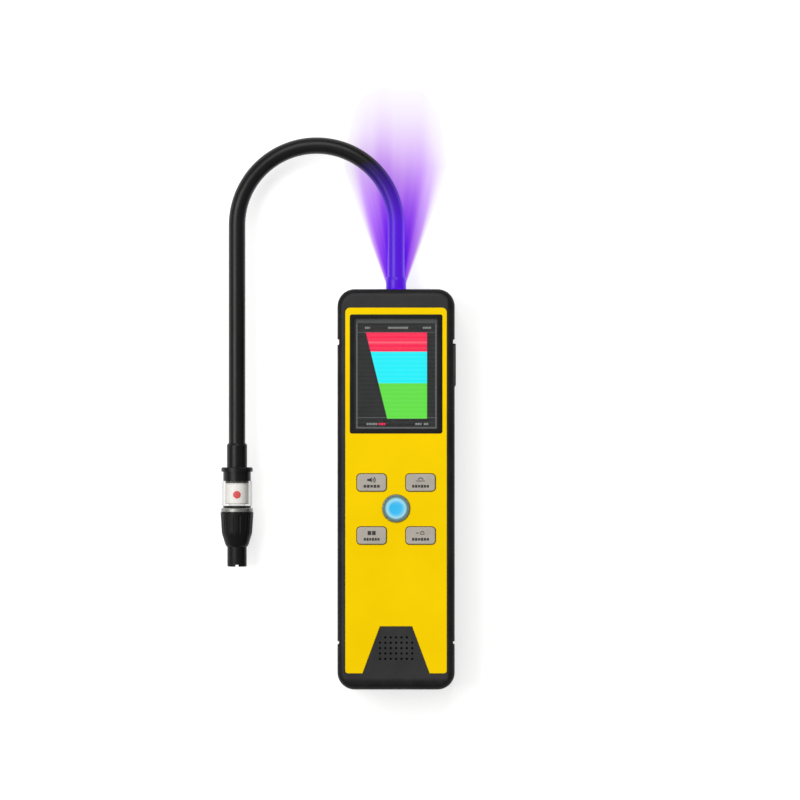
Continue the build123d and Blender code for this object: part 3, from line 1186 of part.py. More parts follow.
def pump_motor():
    """The pump's round motor."""
    low = MOTOR_TOP_Y - MOTOR_LENGTH
    motor = bar(MOTOR_DIAMETER, low, MOTOR_TOP_Y, PUMP_X, PUMP_Z)
    return motor + bar(MOTOR_BOSS_DIAMETER, MOTOR_END_Y, low + ROOT, PUMP_X, PUMP_Z)


def infrared_cell():
    """The tube that the infrared light crosses, on two square feet, with two ports."""
    cell = bar(IR_DIAMETER, IR_LOW_Y, IR_HIGH_Y, IR_X, NECK_Z)
    half = IR_FLANGE_WIDTH / 2
    for low_y in (IR_LOW_Y, IR_HIGH_Y - IR_FLANGE_THICKNESS):
        low = (IR_X - half, low_y, BACK_WALL)
        high = (IR_X + half, low_y + IR_FLANGE_THICKNESS, NECK_Z + half)
        cell += block(low, high)
    wall_x = IR_X - IR_DIAMETER / 2
    lower_port_y = IR_LOW_Y + IR_PORT_SETBACK
    upper_port_y = IR_HIGH_Y - IR_PORT_SETBACK
    cell += cross_bar(NIPPLE_DIAMETER, wall_x - NIPPLE_LENGTH, IR_X, lower_port_y, NECK_Z)
    cell -= bar(IR_BORE, IR_LOW_Y - CUT_PAST, IR_HIGH_Y + CUT_PAST, IR_X, NECK_Z)
    cell -= cross_bar(NIPPLE_BORE, wall_x - NIPPLE_LENGTH - CUT_PAST, IR_X, lower_port_y, NECK_Z)
    return cell - cross_bar(TUBE_BORE, wall_x - CUT_PAST, IR_X, upper_port_y, NECK_Z)


def infrared_can(face_y, side):
    """A round can on one end of the infrared cell, with its plug in the cell's bore."""
    outer = face_y + side * IR_CAN_LENGTH
    plug_end = face_y - side * IR_PLUG_LENGTH
    can = bar(IR_CAN_DIAMETER, min(face_y, outer), max(face_y, outer), IR_X, NECK_Z)
    plug = IR_BORE - 2 * IR_PLUG_FIT
    return can + bar(plug, min(face_y, plug_end), max(face_y, plug_end), IR_X, NECK_Z)


def pump_hose():
    """The hose from the infrared cell to the pump's inlet."""
    cell_x = IR_X - IR_DIAMETER / 2
    cell_y = IR_LOW_Y + IR_PORT_SETBACK
    port_x = PUMP_X - PUMP_PORT_SPACING / 2
    turn_y = PUMP_HEAD_TOP_Y + PUMP_HOSE_RISE
    route = [(cell_x, cell_y), (0, cell_y), (0, turn_y), (port_x, turn_y), (port_x, PUMP_HEAD_TOP_Y)]
    path = FilletPolyline(*[(x, y, NECK_Z) for x, y in route], radius=HOSE_BEND_RADIUS)
    return tube_along(path, HOSE_DIAMETER, HOSE_BORE)


def exhaust_hose():
    """The hose from the pump's outlet to the hole in the lower end wall."""
    port_x = PUMP_X + PUMP_PORT_SPACING / 2
    turn_y = PUMP_HEAD_TOP_Y + EXHAUST_HOSE_RISE
    route = [(port_x, PUMP_HEAD_TOP_Y), (port_x, turn_y), (EXHAUST_LANE_X, turn_y),
             (EXHAUST_LANE_X, EXHAUST_TURN_Y), (EXHAUST_X, EXHAUST_TURN_Y), (EXHAUST_X, -INNER_END_Y)]
    path = FilletPolyline(*[(x, y, EXHAUST_Z) for x, y in route], radius=HOSE_BEND_RADIUS)
    return tube_along(path, HOSE_DIAMETER, HOSE_BORE)


def pieces():
    """Every piece by its node's name."""
    made = {
        "rear_shell": rear_shell(),
        "front_shell": front_shell(),
        "front_panel": front_panel(),
        "left_grip": grip(-1, GRIP_TOP_Y),
        "right_grip": grip(1, RIGHT_GRIP_TOP_Y),
        "window_frame": window_frame(),
        "display_window": display_window(),
        "display_panel": display_panel(),
        "display_tray": display_tray(),
        "power_rim": power_rim(),
        "power_light_ring": power_light_ring(),
        "power_button": power_button(),
        "power_plunger": plunger((0, POWER_Y)),
        "main_board": main_board(),
        "tact_switches": tact_switches(),
        "board_screws": board_screws(),
        "case_screws": case_screws(),
        "speaker_mesh": speaker_mesh(),
        "speaker": speaker(),
        "usb_socket": usb_socket(),
        "port_cover": port_cover(),
        "neck_gland": neck_gland(),
        "neck_nut": neck_nut(),
        "neck_sheath": neck_sheath(),
        "neck_spine": neck_spine(),
        "sample_tube": sample_tube(),
        "uv_lamp_lens": uv_lamp_lens(),
        "uv_emitter": uv_emitter(),
        "uv_lamp_board": uv_lamp_board(),
        "tip_sleeve": tip_sleeve(),
        "probe_collar": probe_collar(),
        "filter_chamber": filter_chamber(),
        "filter_element": filter_element(),
        "filter_marker": filter_marker(),
        "seal_ring": seal_ring(),
        "clamp_ring": clamp_ring(),
        "nozzle": nozzle(),
        "inlet_tip": inlet_tip(),
        "battery_cell": battery_cell(),
        "battery_cradle": battery_cradle(),
        "battery_contacts": battery_contacts(),
        "pump_head": pump_head(),
        "pump_motor": pump_motor(),
        "infrared_cell": infrared_cell(),
        "infrared_emitter": infrared_can(IR_LOW_Y, -1),
        "infrared_detector": infrared_can(IR_HIGH_Y, 1),
        "pump_hose": pump_hose(),
        "exhaust_hose": exhaust_hose(),
    }
    for name, place in key_places().items():
        made[name] = key(place)
        made[name.replace("key", "plunger")] = plunger(place)
    return made


def main():
    os.makedirs("parts", exist_ok=True)
    for name, shape in pieces().items():
        export_step(shape, f"parts/{name}.step")


main()
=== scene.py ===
"""Looks of the infrared leak detector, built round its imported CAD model.

The file is laid out as an add-on and run as a script. The detector lies on its back on a pale floor, with its
gooseneck bent round to the left, and the camera looks straight down on it. Lengths are in metres.
"""

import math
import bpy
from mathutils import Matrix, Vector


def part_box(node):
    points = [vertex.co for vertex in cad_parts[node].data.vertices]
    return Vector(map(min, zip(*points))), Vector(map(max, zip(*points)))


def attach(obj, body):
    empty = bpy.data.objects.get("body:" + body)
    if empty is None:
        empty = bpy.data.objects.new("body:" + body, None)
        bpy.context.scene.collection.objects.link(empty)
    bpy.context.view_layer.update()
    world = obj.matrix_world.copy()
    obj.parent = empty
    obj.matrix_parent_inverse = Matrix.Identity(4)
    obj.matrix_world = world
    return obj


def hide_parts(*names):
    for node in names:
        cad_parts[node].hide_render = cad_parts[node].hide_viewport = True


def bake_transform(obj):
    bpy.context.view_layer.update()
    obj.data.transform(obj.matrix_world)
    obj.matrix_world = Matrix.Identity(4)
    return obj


bl_info = {
    "name": "Leak detector looks",
    "version": (1, 0, 0),
    "blender": (4, 5, 0),
    "location": "3D View > Sidebar > Detector",
    "description": "Dresses the packed leak detector with materials, a display picture and a gooseneck",
    "category": "Object",
}

import bmesh
import bpy
from mathutils import Vector

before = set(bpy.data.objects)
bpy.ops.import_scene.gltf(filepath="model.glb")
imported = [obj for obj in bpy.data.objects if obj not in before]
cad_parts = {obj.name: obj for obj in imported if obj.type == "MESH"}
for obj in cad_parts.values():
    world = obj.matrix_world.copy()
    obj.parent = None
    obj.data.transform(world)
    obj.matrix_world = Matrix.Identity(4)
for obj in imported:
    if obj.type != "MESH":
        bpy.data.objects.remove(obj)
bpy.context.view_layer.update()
MM = 0.001
ORIGIN = (0.0, 0.0, 0.0)
BLACK = (0.0, 0.0, 0.0)
WHITE = (1.0, 1.0, 1.0)


# Colours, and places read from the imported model

def srgb(red, green, blue):
    """A colour written as it looks on a screen, 0 to 255, as Blender's linear values."""
    values = []
    for part in (red, green, blue):
        share = part / 255
        values.append(share / 12.92 if share <= 0.04045 else ((share + 0.055) / 1.055) ** 2.4)
    return tuple(values)


def opaque(colour):
    """A colour with its fourth value."""
    return (*tuple(colour)[:3], 1.0)


def shade(colour, factor, lift=0.0):
    """A colour made darker or lighter."""
    return [min(1.0, part * factor + lift) for part in colour]


def middle_of(node):
    """The middle of a CAD node's box."""
    low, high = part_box(node)
    return (low + high) / 2


KEY_NAMES = ("key_top_left", "key_top_right", "key_bottom_left", "key_bottom_right")
SCREEN_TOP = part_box("display_panel")[1].z
LENS_MIDDLE = middle_of("uv_lamp_lens")
LENS_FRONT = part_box("uv_lamp_lens")[1].y

# The gooseneck's middle line: its height, the x of its probe end, its half turn's radius, and the y of the
# turn's crest and of its two ends
NECK_LOW, NECK_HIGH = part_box("neck_sheath")
NECK_HEIGHT = (NECK_LOW.z + NECK_HIGH.z) / 2
PROBE_X = middle_of("tip_sleeve").x
NECK_RADIUS = -PROBE_X / 2
CREST_Y = NECK_HIGH.y - (NECK_HIGH.z - NECK_LOW.z) / 2
TURN_Y = CREST_Y - NECK_RADIUS


# Sizes and colours that a user would change

def number_setting(name, description, default, low=0.0, high=1.0, **kind):
    """A setting that is one number."""
    return bpy.props.FloatProperty(name=name, description=description, default=default, min=low, max=high,
                                   **kind)


def length_setting(name, description, default, low, high):
    """A setting that is a length."""
    return number_setting(name, description, default, low, high, unit="LENGTH", precision=5)


def colour_setting(name, description, default):
    """A setting that is a colour."""
    return bpy.props.FloatVectorProperty(name=name, description=description, subtype="COLOR", size=3,
                                         default=default, min=0.0, max=1.0)


class GooseneckSizes(bpy.types.PropertyGroup):
    """Sizes of the gooseneck's three tubes."""

    sheath_diameter: length_setting("Sheath diameter", "Outside of the rubber sheath",
                                    8.7 * MM, 4 * MM, 20 * MM)
    sheath_wall: length_setting("Sheath wall", "Wall of the rubber sheath", 1.05 * MM, 0.4 * MM, 3 * MM)
    spine_diameter: length_setting("Spine diameter", "Outside of the metal spine", 6.4 * MM, 3 * MM, 15 * MM)
    spine_wall: length_setting("Spine wall", "Wall of the metal spine", 0.8 * MM, 0.4 * MM, 3 * MM)
    spine_rib_pitch: length_setting("Spine rib pitch", "Distance between two ribs", 3.2 * MM, 1 * MM, 10 * MM)
    spine_rib_depth: length_setting("Spine rib depth", "Depth of the spine's grooves",
                                    0.14 * MM, 0.0, 0.5 * MM)
    tube_diameter: length_setting("Tube diameter", "Outside of the sample tube", 4.0 * MM, 2 * MM, 10 * MM)
    tube_wall: length_setting("Tube wall", "Wall of the sample tube", 0.75 * MM, 0.3 * MM, 2 * MM)
    ring_spacing: length_setting("Ring spacing", "Distance between two rings of the sheath's mesh",
                                 1.5 * MM, 0.5 * MM, 10 * MM)
    sides: bpy.props.IntProperty(name="Sides", description="Sides of the sheath's section", default=40, min=8,
                                 max=96)


class HousingColours(bpy.types.PropertyGroup):
    """Colours of the housing and of what is set in it."""

    housing: colour_setting("Housing", "Dark grey moulded housing", srgb(46, 46, 47))
    # Painted shade: the colour that the housing's sides and rims take
    painted_side_shade: colour_setting("Housing sides", "Darker sides and rims of the housing", srgb(14, 14, 15))
    panel: colour_setting("Front panel", "Yellow front panel", srgb(252, 211, 0))
    grip: colour_setting("Grips", "Rubber side grips", srgb(13, 13, 14))
    cover: colour_setting("Port cover", "Rubber port cover", srgb(34, 15, 18))
    window_frame: colour_setting("Window frame", "Black frame round the display", srgb(20, 20, 19))
    key: colour_setting("Keys", "Light grey keys", srgb(175, 169, 159))
    key_mark: colour_setting("Key marks", "Dark print on the keys", srgb(44, 42, 40))
    grain_size: length_setting("Grain size", "Size of the housing's moulded grain",
                               0.34 * MM, 0.05 * MM, 2 * MM)
    edge_wear: number_setting("Edge wear", "How far the edges have worn lighter", 0.12, subtype="FACTOR")
    dust: number_setting("Dust", "How much dust lies on the housing", 0.06, subtype="FACTOR")


class DisplayPicture(bpy.types.PropertyGroup):
    """Sizes and colours of the picture on the display."""

    background: colour_setting("Background", "Dark ground of the display", srgb(38, 38, 39))
    alarm_band: colour_setting("Upper band", "Red upper band", srgb(255, 34, 82))
    middle_band: colour_setting("Middle band", "Cyan middle band", srgb(20, 242, 252))
    lower_band: colour_setting("Lower band", "Green lower band", srgb(98, 226, 66))
    rule: colour_setting("Rules", "Grey rules round the picture", srgb(94, 95, 96))
    mark: colour_setting("Marks", "Pale marks in the two status rows", srgb(138, 140, 138))
    thickness: length_setting("Layer thickness", "Thickness of the lit layer", 0.1 * MM, 0.02 * MM, 1 * MM)
    pixel_pitch: length_setting("Pixel pitch", "Distance between two pixels", 0.2 * MM, 0.05 * MM, 1 * MM)


class ProbeColours(bpy.types.PropertyGroup):
    """Colours of the gooseneck and the probe head."""

    sheath: colour_setting("Sheath", "Black rubber sheath", srgb(12, 12, 12))
    body: colour_setting("Probe body", "Black moulded sleeve, collar and nozzle", srgb(12, 12, 12))
    filter_element: colour_setting("Filter", "White fibre of the filter", srgb(252, 250, 245))
    marker: colour_setting("Marker", "Red spot on the filter", srgb(226, 58, 55))
    ring: colour_setting("Silver ring", "Turned ring over the nozzle", srgb(158, 158, 154))


class GlowingParts(bpy.types.PropertyGroup):
    """Colours and strengths of what glows."""

    lamp: colour_setting("Lamp", "Violet light of the ultraviolet lamp", srgb(82, 2, 214))
    lamp_power: number_setting("Lamp power", "Power of the lamp's light on the gooseneck", 0.1, high=5.0,
                               unit="POWER", precision=4)
    # The lamp's violet light painted on the gooseneck: where it stays full and where it ends
    wash_start: length_setting("Wash start", "How far from the lens its light on the gooseneck stays full",
                               38 * MM, 0.0, 0.5)
    wash_end: length_setting("Wash end", "How far from the lens its light on the gooseneck ends",
                             72 * MM, 0.0, 0.5)
    light_ring: colour_setting("Light ring", "Pale ring round the power button", srgb(168, 226, 244))
    button: colour_setting("Power button", "Blue power button", srgb(56, 190, 244))


class StageSizes(bpy.types.PropertyGroup):
    """Camera, lamps and floor."""

    view_centre: bpy.props.FloatVectorProperty(
        name="View centre", description="Point that the camera looks straight down on", subtype="TRANSLATION",
        size=3, default=(0.00204, 0.04663, 0.025))
    view_width: length_setting("View width", "Width that the camera takes in", 0.418, 0.05, 5.0)
    lens: number_setting("Lens", "Focal length of the camera in millimetres", 400.0, 20.0, 1000.0,
                         subtype="UNSIGNED")
    lamp_distance: length_setting("Lamp distance", "Distance of the soft lamps from the detector",
                                  1.8, 0.3, 10.0)
    lamp_size: length_setting("Lamp size", "Width of each soft lamp", 1.0, 0.1, 5.0)
    lamp_power: number_setting("Lamp power", "Power of the soft lamps together", 28.0, high=500.0,
                               unit="POWER")
    surround: number_setting("Surround", "Strength of the light from all round", 0.36, high=2.0)
    floor_colour: colour_setting("Floor", "Pale floor", (0.68, 0.68, 0.675))
    floor_lift: number_setting("Floor lift", "White that the floor shows besides the light on it", 0.6,
                               subtype="FACTOR")
    # How far the lamp's violet light painted on the floor reaches
    pool_length: length_setting("Lamp pool length", "How far the violet light reaches over the floor",
                                0.12, 0.0, 1.0)


class LeakDetectorSettings(bpy.types.PropertyGroup):
    """All settings of the detector's looks."""

    neck: bpy.props.PointerProperty(type=GooseneckSizes)
    housing: bpy.props.PointerProperty(type=HousingColours)
    display: bpy.props.PointerProperty(type=DisplayPicture)
    probe: bpy.props.PointerProperty(type=ProbeColours)
    glow: bpy.props.PointerProperty(type=GlowingParts)
    stage: bpy.props.PointerProperty(type=StageSizes)


def settings():
    """The detector's settings of this scene."""
    return bpy.context.scene.leak_detector


# Patterns: how many features each has to a metre
WEAR_BREAKS = 420.0
DUST_CLOUDS = 60.0
DUST_SPECKS = 1500.0
SMEARS = 90.0
GLOW_CLOUDS = 300.0
FIBRE_CLUMPS = 900.0
BOARD_TRACKS = 150.0
BOARD_PADS = 210.0
WRAP_CREASES = 120.0
FLOOR_CLOUDS = 3.0


# Node trees

class Wiring:
    """Adds nodes to one tree and joins them."""

    def __init__(self, tree):
        self.tree = tree

    def put(self, socket, value):
        """Joins an output to a socket, or sets the socket's own value."""
        if isinstance(value, bpy.types.NodeSocket):
            self.tree.links.new(value, socket)
        else:
            socket.default_value = opaque(value) if socket.type == "RGBA" else value

    def feed(self, node, **inputs):
        """Fills a node's inputs, given by name with _ for spaces."""
        for name, value in inputs.items():
            self.put(node.inputs[name.replace("_", " ")], value)
        return node

    def add(self, kind, options=None, **inputs):
        """A new node with its options and inputs."""
        node = self.tree.nodes.new(kind)
        for name, value in (options or {}).items():
            setattr(node, name, value)
        return self.feed(node, **inputs)

    def group(self, build, **inputs):
        """The outputs of a shared shader group."""
        return self.add("ShaderNodeGroup", {"node_tree": shared(build)}, **inputs).outputs

    def math(self, operation, first, second=0.0, third=0.0, clamp=False):
        """The output of a Math node."""
        node = self.add("ShaderNodeMath", {"operation": operation, "use_clamp": clamp})
        for socket, value in zip(node.inputs, (first, second, third)):
            self.put(socket, value)
        return node.outputs[0]

    def times(self, product, *others):
        """The product of two values or more."""
        for other in others:
            product = self.math("MULTIPLY", product, other)
        return product

    def distance(self, first, second):
        """How far two values are apart."""
        return self.math("ABSOLUTE", self.math("SUBTRACT", first, second))

    def measure(self, operation, first, second=ORIGIN):
        """The number that a Vector Math node gives."""
        node = self.add("ShaderNodeVectorMath", {"operation": operation})
        self.put(node.inputs[0], first)
        self.put(node.inputs[1], second)
        return node.outputs["Value"]

    def vector(self, **parts):
        """A vector made from its parts X, Y and Z."""
        return self.add("ShaderNodeCombineXYZ", **parts).outputs[0]

    def split(self, vector):
        """The three parts of a vector."""
        return self.add("ShaderNodeSeparateXYZ", Vector=vector).outputs

    def noise(self, place, scale, detail=2.0, roughness=0.5, distortion=0.0):
        """The height of a Noise Texture."""
        return self.add("ShaderNodeTexNoise", Vector=place, Scale=scale, Detail=detail, Roughness=roughness,
                        Distortion=distortion).outputs[0]

    def cells(self, place, scale):
        """The distance to the middle of each cell of a smooth Voronoi Texture."""
        return self.add("ShaderNodeTexVoronoi", {"feature": "SMOOTH_F1"}, Vector=place,
                        Scale=scale).outputs["Distance"]

    def blend(self, share, low, high, mode="MIX"):
        """The output of a colour Mix node."""
        node = self.add("ShaderNodeMix", {"data_type": "RGBA", "blend_type": mode})
        for number, value in ((0, share), (6, low), (7, high)):
            self.put(node.inputs[number], value)
        return node.outputs[2]

    def stretch(self, value, low, high, new_low=0.0, new_high=1.0):
        """A value moved from one range to another, and kept inside it."""
        return self.add("ShaderNodeMapRange", Value=value, From_Min=low, From_Max=high, To_Min=new_low,
                        To_Max=new_high).outputs["Result"]

    def bump(self, shader, height, depth):
        """Joins a height to the shader's normal."""
        node = self.add("ShaderNodeBump", Height=height, Distance=depth, Strength=1.0)
        self.feed(shader, Normal=node.outputs["Normal"])


SOCKET_KINDS = {float: "NodeSocketFloat", int: "NodeSocketInt", tuple: "NodeSocketVector"}


def new_group(name, inputs, outputs, kind="ShaderNodeTree", output_kind="NodeSocketFloat"):
    """An empty node group and the wiring to fill it. An input has a default, or its socket's kind."""
    tree = bpy.data.node_groups.new(name, kind)
    for label, value in inputs.items():
        named = isinstance(value, str)
        socket = tree.interface.new_socket(name=label, in_out="INPUT",
                                           socket_type=value if named else SOCKET_KINDS[type(value)])
        if not named:
            socket.default_value = value
    for label in outputs:
        tree.interface.new_socket(name=label, in_out="OUTPUT", socket_type=output_kind)
    entry = tree.nodes.new("NodeGroupInput").outputs
    leave = tree.nodes.new("NodeGroupOutput").inputs
    return tree, Wiring(tree), entry, leave


def shared(build):
    """A node group that is built once and has its function's name."""
    return bpy.data.node_groups.get(build.__name__) or build()


def moulded_grain():
    """Fine moulded grain: the height of each point, and a slow change of tone over the piece."""
    tree, wires, entry, leave = new_group(
        "moulded_grain", {"Vector": ORIGIN, "Grain Size": 0.3 * MM, "Patch Size": 12 * MM},
        ("Height", "Tone"))
    place = entry["Vector"]
    scale = wires.math("DIVIDE", 1.0, entry["Grain Size"])
    patches = wires.math("DIVIDE", 1.0, entry["Patch Size"])
    fine = wires.noise(place, scale, roughness=0.6)
    slow = wires.noise(place, patches, detail=4.0, roughness=0.55)
    wires.put(leave["Height"], wires.math("MULTIPLY_ADD", wires.cells(place, scale), 0.5, fine))
    wires.put(leave["Tone"], wires.stretch(slow, 0.32, 0.68))
    return tree


def worn_edges():
    """Where a piece has worn: along its edges, broken up by a fine pattern."""
    tree, wires, entry, leave = new_group(
        "worn_edges", {"Vector": ORIGIN, "Edge Width": 0.4 * MM, "Amount": 0.3}, ("Mask",))
    rounded = wires.add("ShaderNodeBevel", {"samples": 4}, Radius=entry["Edge Width"]).outputs["Normal"]
    flat = wires.add("ShaderNodeNewGeometry").outputs["Normal"]
    edge = wires.stretch(wires.measure("DOT_PRODUCT", rounded, flat), 0.995, 0.86)
    broken = wires.stretch(wires.noise(entry["Vector"], WEAR_BREAKS, detail=3.0), 0.36, 0.62, 0.15, 1.0)
    wires.put(leave["Mask"], wires.times(edge, broken, entry["Amount"]))
    return tree


def settled_dust():
    """Where dust has settled: on what faces up, in soft patches."""
    tree, wires, entry, leave = new_group("settled_dust", {"Vector": ORIGIN, "Amount": 0.1}, ("Mask",))
    facing = wires.split(wires.add("ShaderNodeNewGeometry").outputs["Normal"])["Z"]
    cloud = wires.noise(entry["Vector"], DUST_CLOUDS, detail=6.0, roughness=0.65)
    specks = wires.noise(entry["Vector"], DUST_SPECKS)
    wires.put(leave["Mask"], wires.times(
        wires.stretch(facing, 0.2, 1.0), wires.stretch(cloud, 0.4, 0.75, 0.15, 1.0),
        wires.stretch(specks, 0.45, 0.7, 0.4, 1.0), entry["Amount"]))
    return tree


def fine_lines():
    """Turning or brushing lines: a noise drawn out along one direction by its vector."""
    tree, wires, entry, leave = new_group(
        "fine_lines", {"Vector": ORIGIN, "Line Width": 0.1 * MM}, ("Height", "Tone"))
    scale = wires.math("DIVIDE", 1.0, entry["Line Width"])
    broad = wires.noise(entry["Vector"], wires.times(scale, 0.16))
    wires.put(leave["Height"], wires.noise(entry["Vector"], scale, detail=3.0, roughness=0.7))
    wires.put(leave["Tone"], wires.stretch(broad, 0.35, 0.65))
    return tree


def screen_grid():
    """The fine dark grid between a display's pixels, and faint rows across it."""
    tree, wires, entry, leave = new_group(
        "screen_grid", {"Vector": ORIGIN, "Pitch": 0.2 * MM}, ("Mask", "Rows"))
    place = wires.split(entry["Vector"])
    across, along = (wires.math("PINGPONG", wires.math("DIVIDE", place[axis], entry["Pitch"]), 0.5)
                     for axis in ("X", "Y"))
    least = wires.math("MINIMUM", across, along)
    row = wires.math("SINE", wires.math("DIVIDE", wires.times(place["Y"], 0.55), entry["Pitch"]))
    wires.put(leave["Mask"], wires.stretch(least, 0.02, 0.1, 0.93, 1.0))
    wires.put(leave["Rows"], wires.stretch(row, -1.0, 1.0))
    return tree


# Where the lamp's painted light starts behind its lens, and where it ends far to the lens's side
WASH_BEHIND = (-6 * MM, -4 * MM)
WASH_ASIDE = (40 * MM, 55 * MM)


def painted_lamp_wash():
    """How much of the lamp's violet light is painted on a point of the gooseneck: all of it near the lens,
    then less.
    """
    tree, wires, entry, leave = new_group(
        "painted_lamp_wash", {"Vector": ORIGIN, "Lens": ORIGIN, "Start": 38 * MM, "End": 72 * MM}, ("Share",))
    place, lens = wires.split(entry["Vector"]), wires.split(entry["Lens"])
    reach = wires.measure("DISTANCE", entry["Vector"], entry["Lens"])
    near = wires.stretch(reach, entry["Start"], entry["End"], 1.0, 0.0)
    before = wires.stretch(wires.math("SUBTRACT", place["Y"], lens["Y"]), *WASH_BEHIND)
    beside = wires.stretch(wires.distance(place["X"], lens["X"]), *WASH_ASIDE, 1.0, 0.0)
    wires.put(leave["Share"], wires.times(near, before, beside))
    return tree


# Materials

DUST_COLOUR = srgb(170, 168, 162)
HOSE_COLOUR = (0.9, 0.93, 0.94)
METAL_EDGE = 0.2 * MM
METAL_LINE = 0.12 * MM
METAL_DEPTH = 0.003 * MM
FIBRE_SIZE = 0.25 * MM
VIEWPORT_GREY = (0.5, 0.5, 0.5, 1.0)

# How far a moulded piece's roughness varies, and how far a glowing part's own colour is darkened
GLOSS_SPREAD = 0.14
UNLIT_SHARE = 0.62

# The display's own colour between its pixels and on them
UNLIT_GRID = (0.004, 0.004, 0.004)
UNLIT_PIXEL = (0.01, 0.01, 0.01)

# How far up a point faces where a piece's painted side shade is full, and where its front begins
SIDE_FACING = (0.86, 0.998)

# The upper band's lighter line: how far from its middle it is full and ends, and how strong it is
LINE_EDGE = (0.15 * MM, 0.75 * MM)
LINE_SHARE = 0.4

# How far towards +Y from its middle a lit part's painted highlight starts, and where it is full
HIGHLIGHT_EDGE = (1.5 * MM, 4.2 * MM)


def start_material(name, **values):
    """A material with its Principled shader, whose even values are set on its own sockets."""
    material = bpy.data.materials.new(name)
    material.use_nodes = True
    wires = Wiring(material.node_tree)
    wires.tree.nodes.clear()
    shader = wires.add("ShaderNodeBsdfPrincipled", **values)
    wires.add("ShaderNodeOutputMaterial", Surface=shader.outputs[0])
    place = wires.add("ShaderNodeTexCoord").outputs["Object"]
    material.diffuse_color = VIEWPORT_GREY
    return material, wires, shader, place


def moulded(name, colour, roughness=0.45, grain=0.3 * MM, depth=0.012 * MM, tone=0.18, patch=14 * MM,
            wear=0.0, wear_colour=None, edge=0.4 * MM, dust=0.0, side=None, rims=(), painted_lamp_light=False,
            **values):
    """Moulded plastic or rubber: grain, slow change of tone, painted shade on sides and rims, worn edges,
    dust and painted lamp light.
    """
    material, wires, shader, place = start_material(name, **values)
    grained = wires.group(moulded_grain, Vector=place, Grain_Size=grain, Patch_Size=patch)
    paint = wires.blend(grained["Tone"], shade(colour, 1 - tone), shade(colour, 1 + tone / 2))
    # Painted shade: what does not face up, and the rims given, take the darker side colour
    if side is not None:
        facing = wires.split(wires.add("ShaderNodeNewGeometry").outputs["Normal"])["Z"]
        painted_shade = wires.stretch(wires.math("ABSOLUTE", facing), *SIDE_FACING, 1.0, 0.0)
        for axis, start, end, amount in rims:
            rim = wires.stretch(wires.split(place)[axis], start, end, 0.0, amount)
            painted_shade = wires.math("MAXIMUM", painted_shade, rim)
        paint = wires.blend(painted_shade, paint, side)
    if wear:
        worn = wires.group(worn_edges, Vector=place, Edge_Width=edge, Amount=wear)["Mask"]
        paint = wires.blend(worn, paint, wear_colour or shade(colour, 1.6, 0.04))
    if dust:
        dusty = wires.group(settled_dust, Vector=place, Amount=dust)["Mask"]
        paint = wires.blend(dusty, paint, DUST_COLOUR)
    # Painted light: the lamp's violet light on the piece is an emission, strongest near the lens
    if painted_lamp_light:
        glow = settings().glow
        share = wires.group(painted_lamp_wash, Vector=place, Lens=tuple(LENS_MIDDLE), Start=glow.wash_start,
                            End=glow.wash_end)["Share"]
        wires.feed(shader, Emission_Color=wires.blend(share, BLACK, glow.lamp), Emission_Strength=1.0)
    spread = wires.stretch(grained["Tone"], 0.0, 1.0, roughness * (1 - GLOSS_SPREAD),
                           min(1.0, roughness * (1 + GLOSS_SPREAD)))
    wires.feed(shader, Base_Color=paint, Roughness=spread)
    wires.bump(shader, grained["Height"], depth)
    return material


def turned_metal(name, colour, roughness, stretch, wear=0.25):
    """Turned, drawn or brushed metal, with its lines drawn out by the stretch."""
    material, wires, shader, place = start_material(name, Metallic=1.0)
    drawn = wires.add("ShaderNodeMapping", Vector=place, Scale=stretch).outputs[0]
    lined = wires.group(fine_lines, Vector=drawn, Line_Width=METAL_LINE)
    worn = wires.group(worn_edges, Vector=place, Edge_Width=METAL_EDGE, Amount=wear)["Mask"]
    paint = wires.blend(lined["Tone"], shade(colour, 0.8), colour)
    paint = wires.blend(worn, paint, shade(colour, 1.25, 0.05))
    spread = wires.stretch(lined["Tone"], 0.0, 1.0, roughness * 0.75, roughness * 1.3)
    wires.feed(shader, Base_Color=paint, Roughness=spread)
    wires.bump(shader, lined["Height"], METAL_DEPTH)
    return material


def smeared(name, colour, least, most, darkest, **values):
    """A clear material with a few smears that show in its gloss and slightly in its colour."""
    material, wires, shader, place = start_material(name, **values)
    smear = wires.noise(place, SMEARS, detail=5.0, roughness=0.6)
    wires.feed(shader, Roughness=wires.stretch(smear, 0.4, 0.75, least, most),
               Base_Color=wires.blend(smear, colour, shade(colour, darkest)))
    return material, wires, shader


def clear(name, colour, roughness, haze, ior, weight=1.0):
    """Clear plastic or glass."""
    return smeared(name, colour, roughness, roughness + haze, 0.985, Transmission_Weight=weight, IOR=ior)[0]


def clear_hose(name):
    """Soft clear plastic of a thin hose."""
    return clear(name, HOSE_COLOUR, roughness=0.12, haze=0.1, ior=1.4, weight=0.7)


def clear_wall(name, colour):
    """The thin clear wall of a round chamber, which looks darker where it is seen edge on."""
    material, wires, shader = smeared(name, colour, 0.05, 0.12, 0.97, Specular_IOR_Level=0.4)
    edge_on = wires.add("ShaderNodeLayerWeight", Blend=0.5).outputs["Facing"]
    wires.feed(shader, Alpha=wires.stretch(edge_on, 0.35, 0.85, 0.05, 0.46))
    return material


def screen(name, colour, rows=0.025, line_y=None):
    """A lit part of the display, with its pixel grid, faint rows and, if asked, one lighter line."""
    material, wires, shader, place = start_material(
        name, Roughness=0.35, Emission_Strength=1.0, Specular_IOR_Level=0.1)
    grid = wires.group(screen_grid, Vector=place, Pitch=settings().display.pixel_pitch)
    glow = wires.blend(grid["Rows"], colour, shade(colour, 1 - rows, rows))
    if line_y is not None:
        gap = wires.distance(wires.split(place)["Y"], line_y)
        glow = wires.blend(wires.stretch(gap, *LINE_EDGE, LINE_SHARE, 0.0), glow, shade(colour, 0.7, 0.3))
    wires.feed(shader, Emission_Color=wires.blend(grid["Mask"], shade(colour, 0.9), glow),
               Base_Color=wires.blend(grid["Mask"], UNLIT_GRID, UNLIT_PIXEL))
    return material


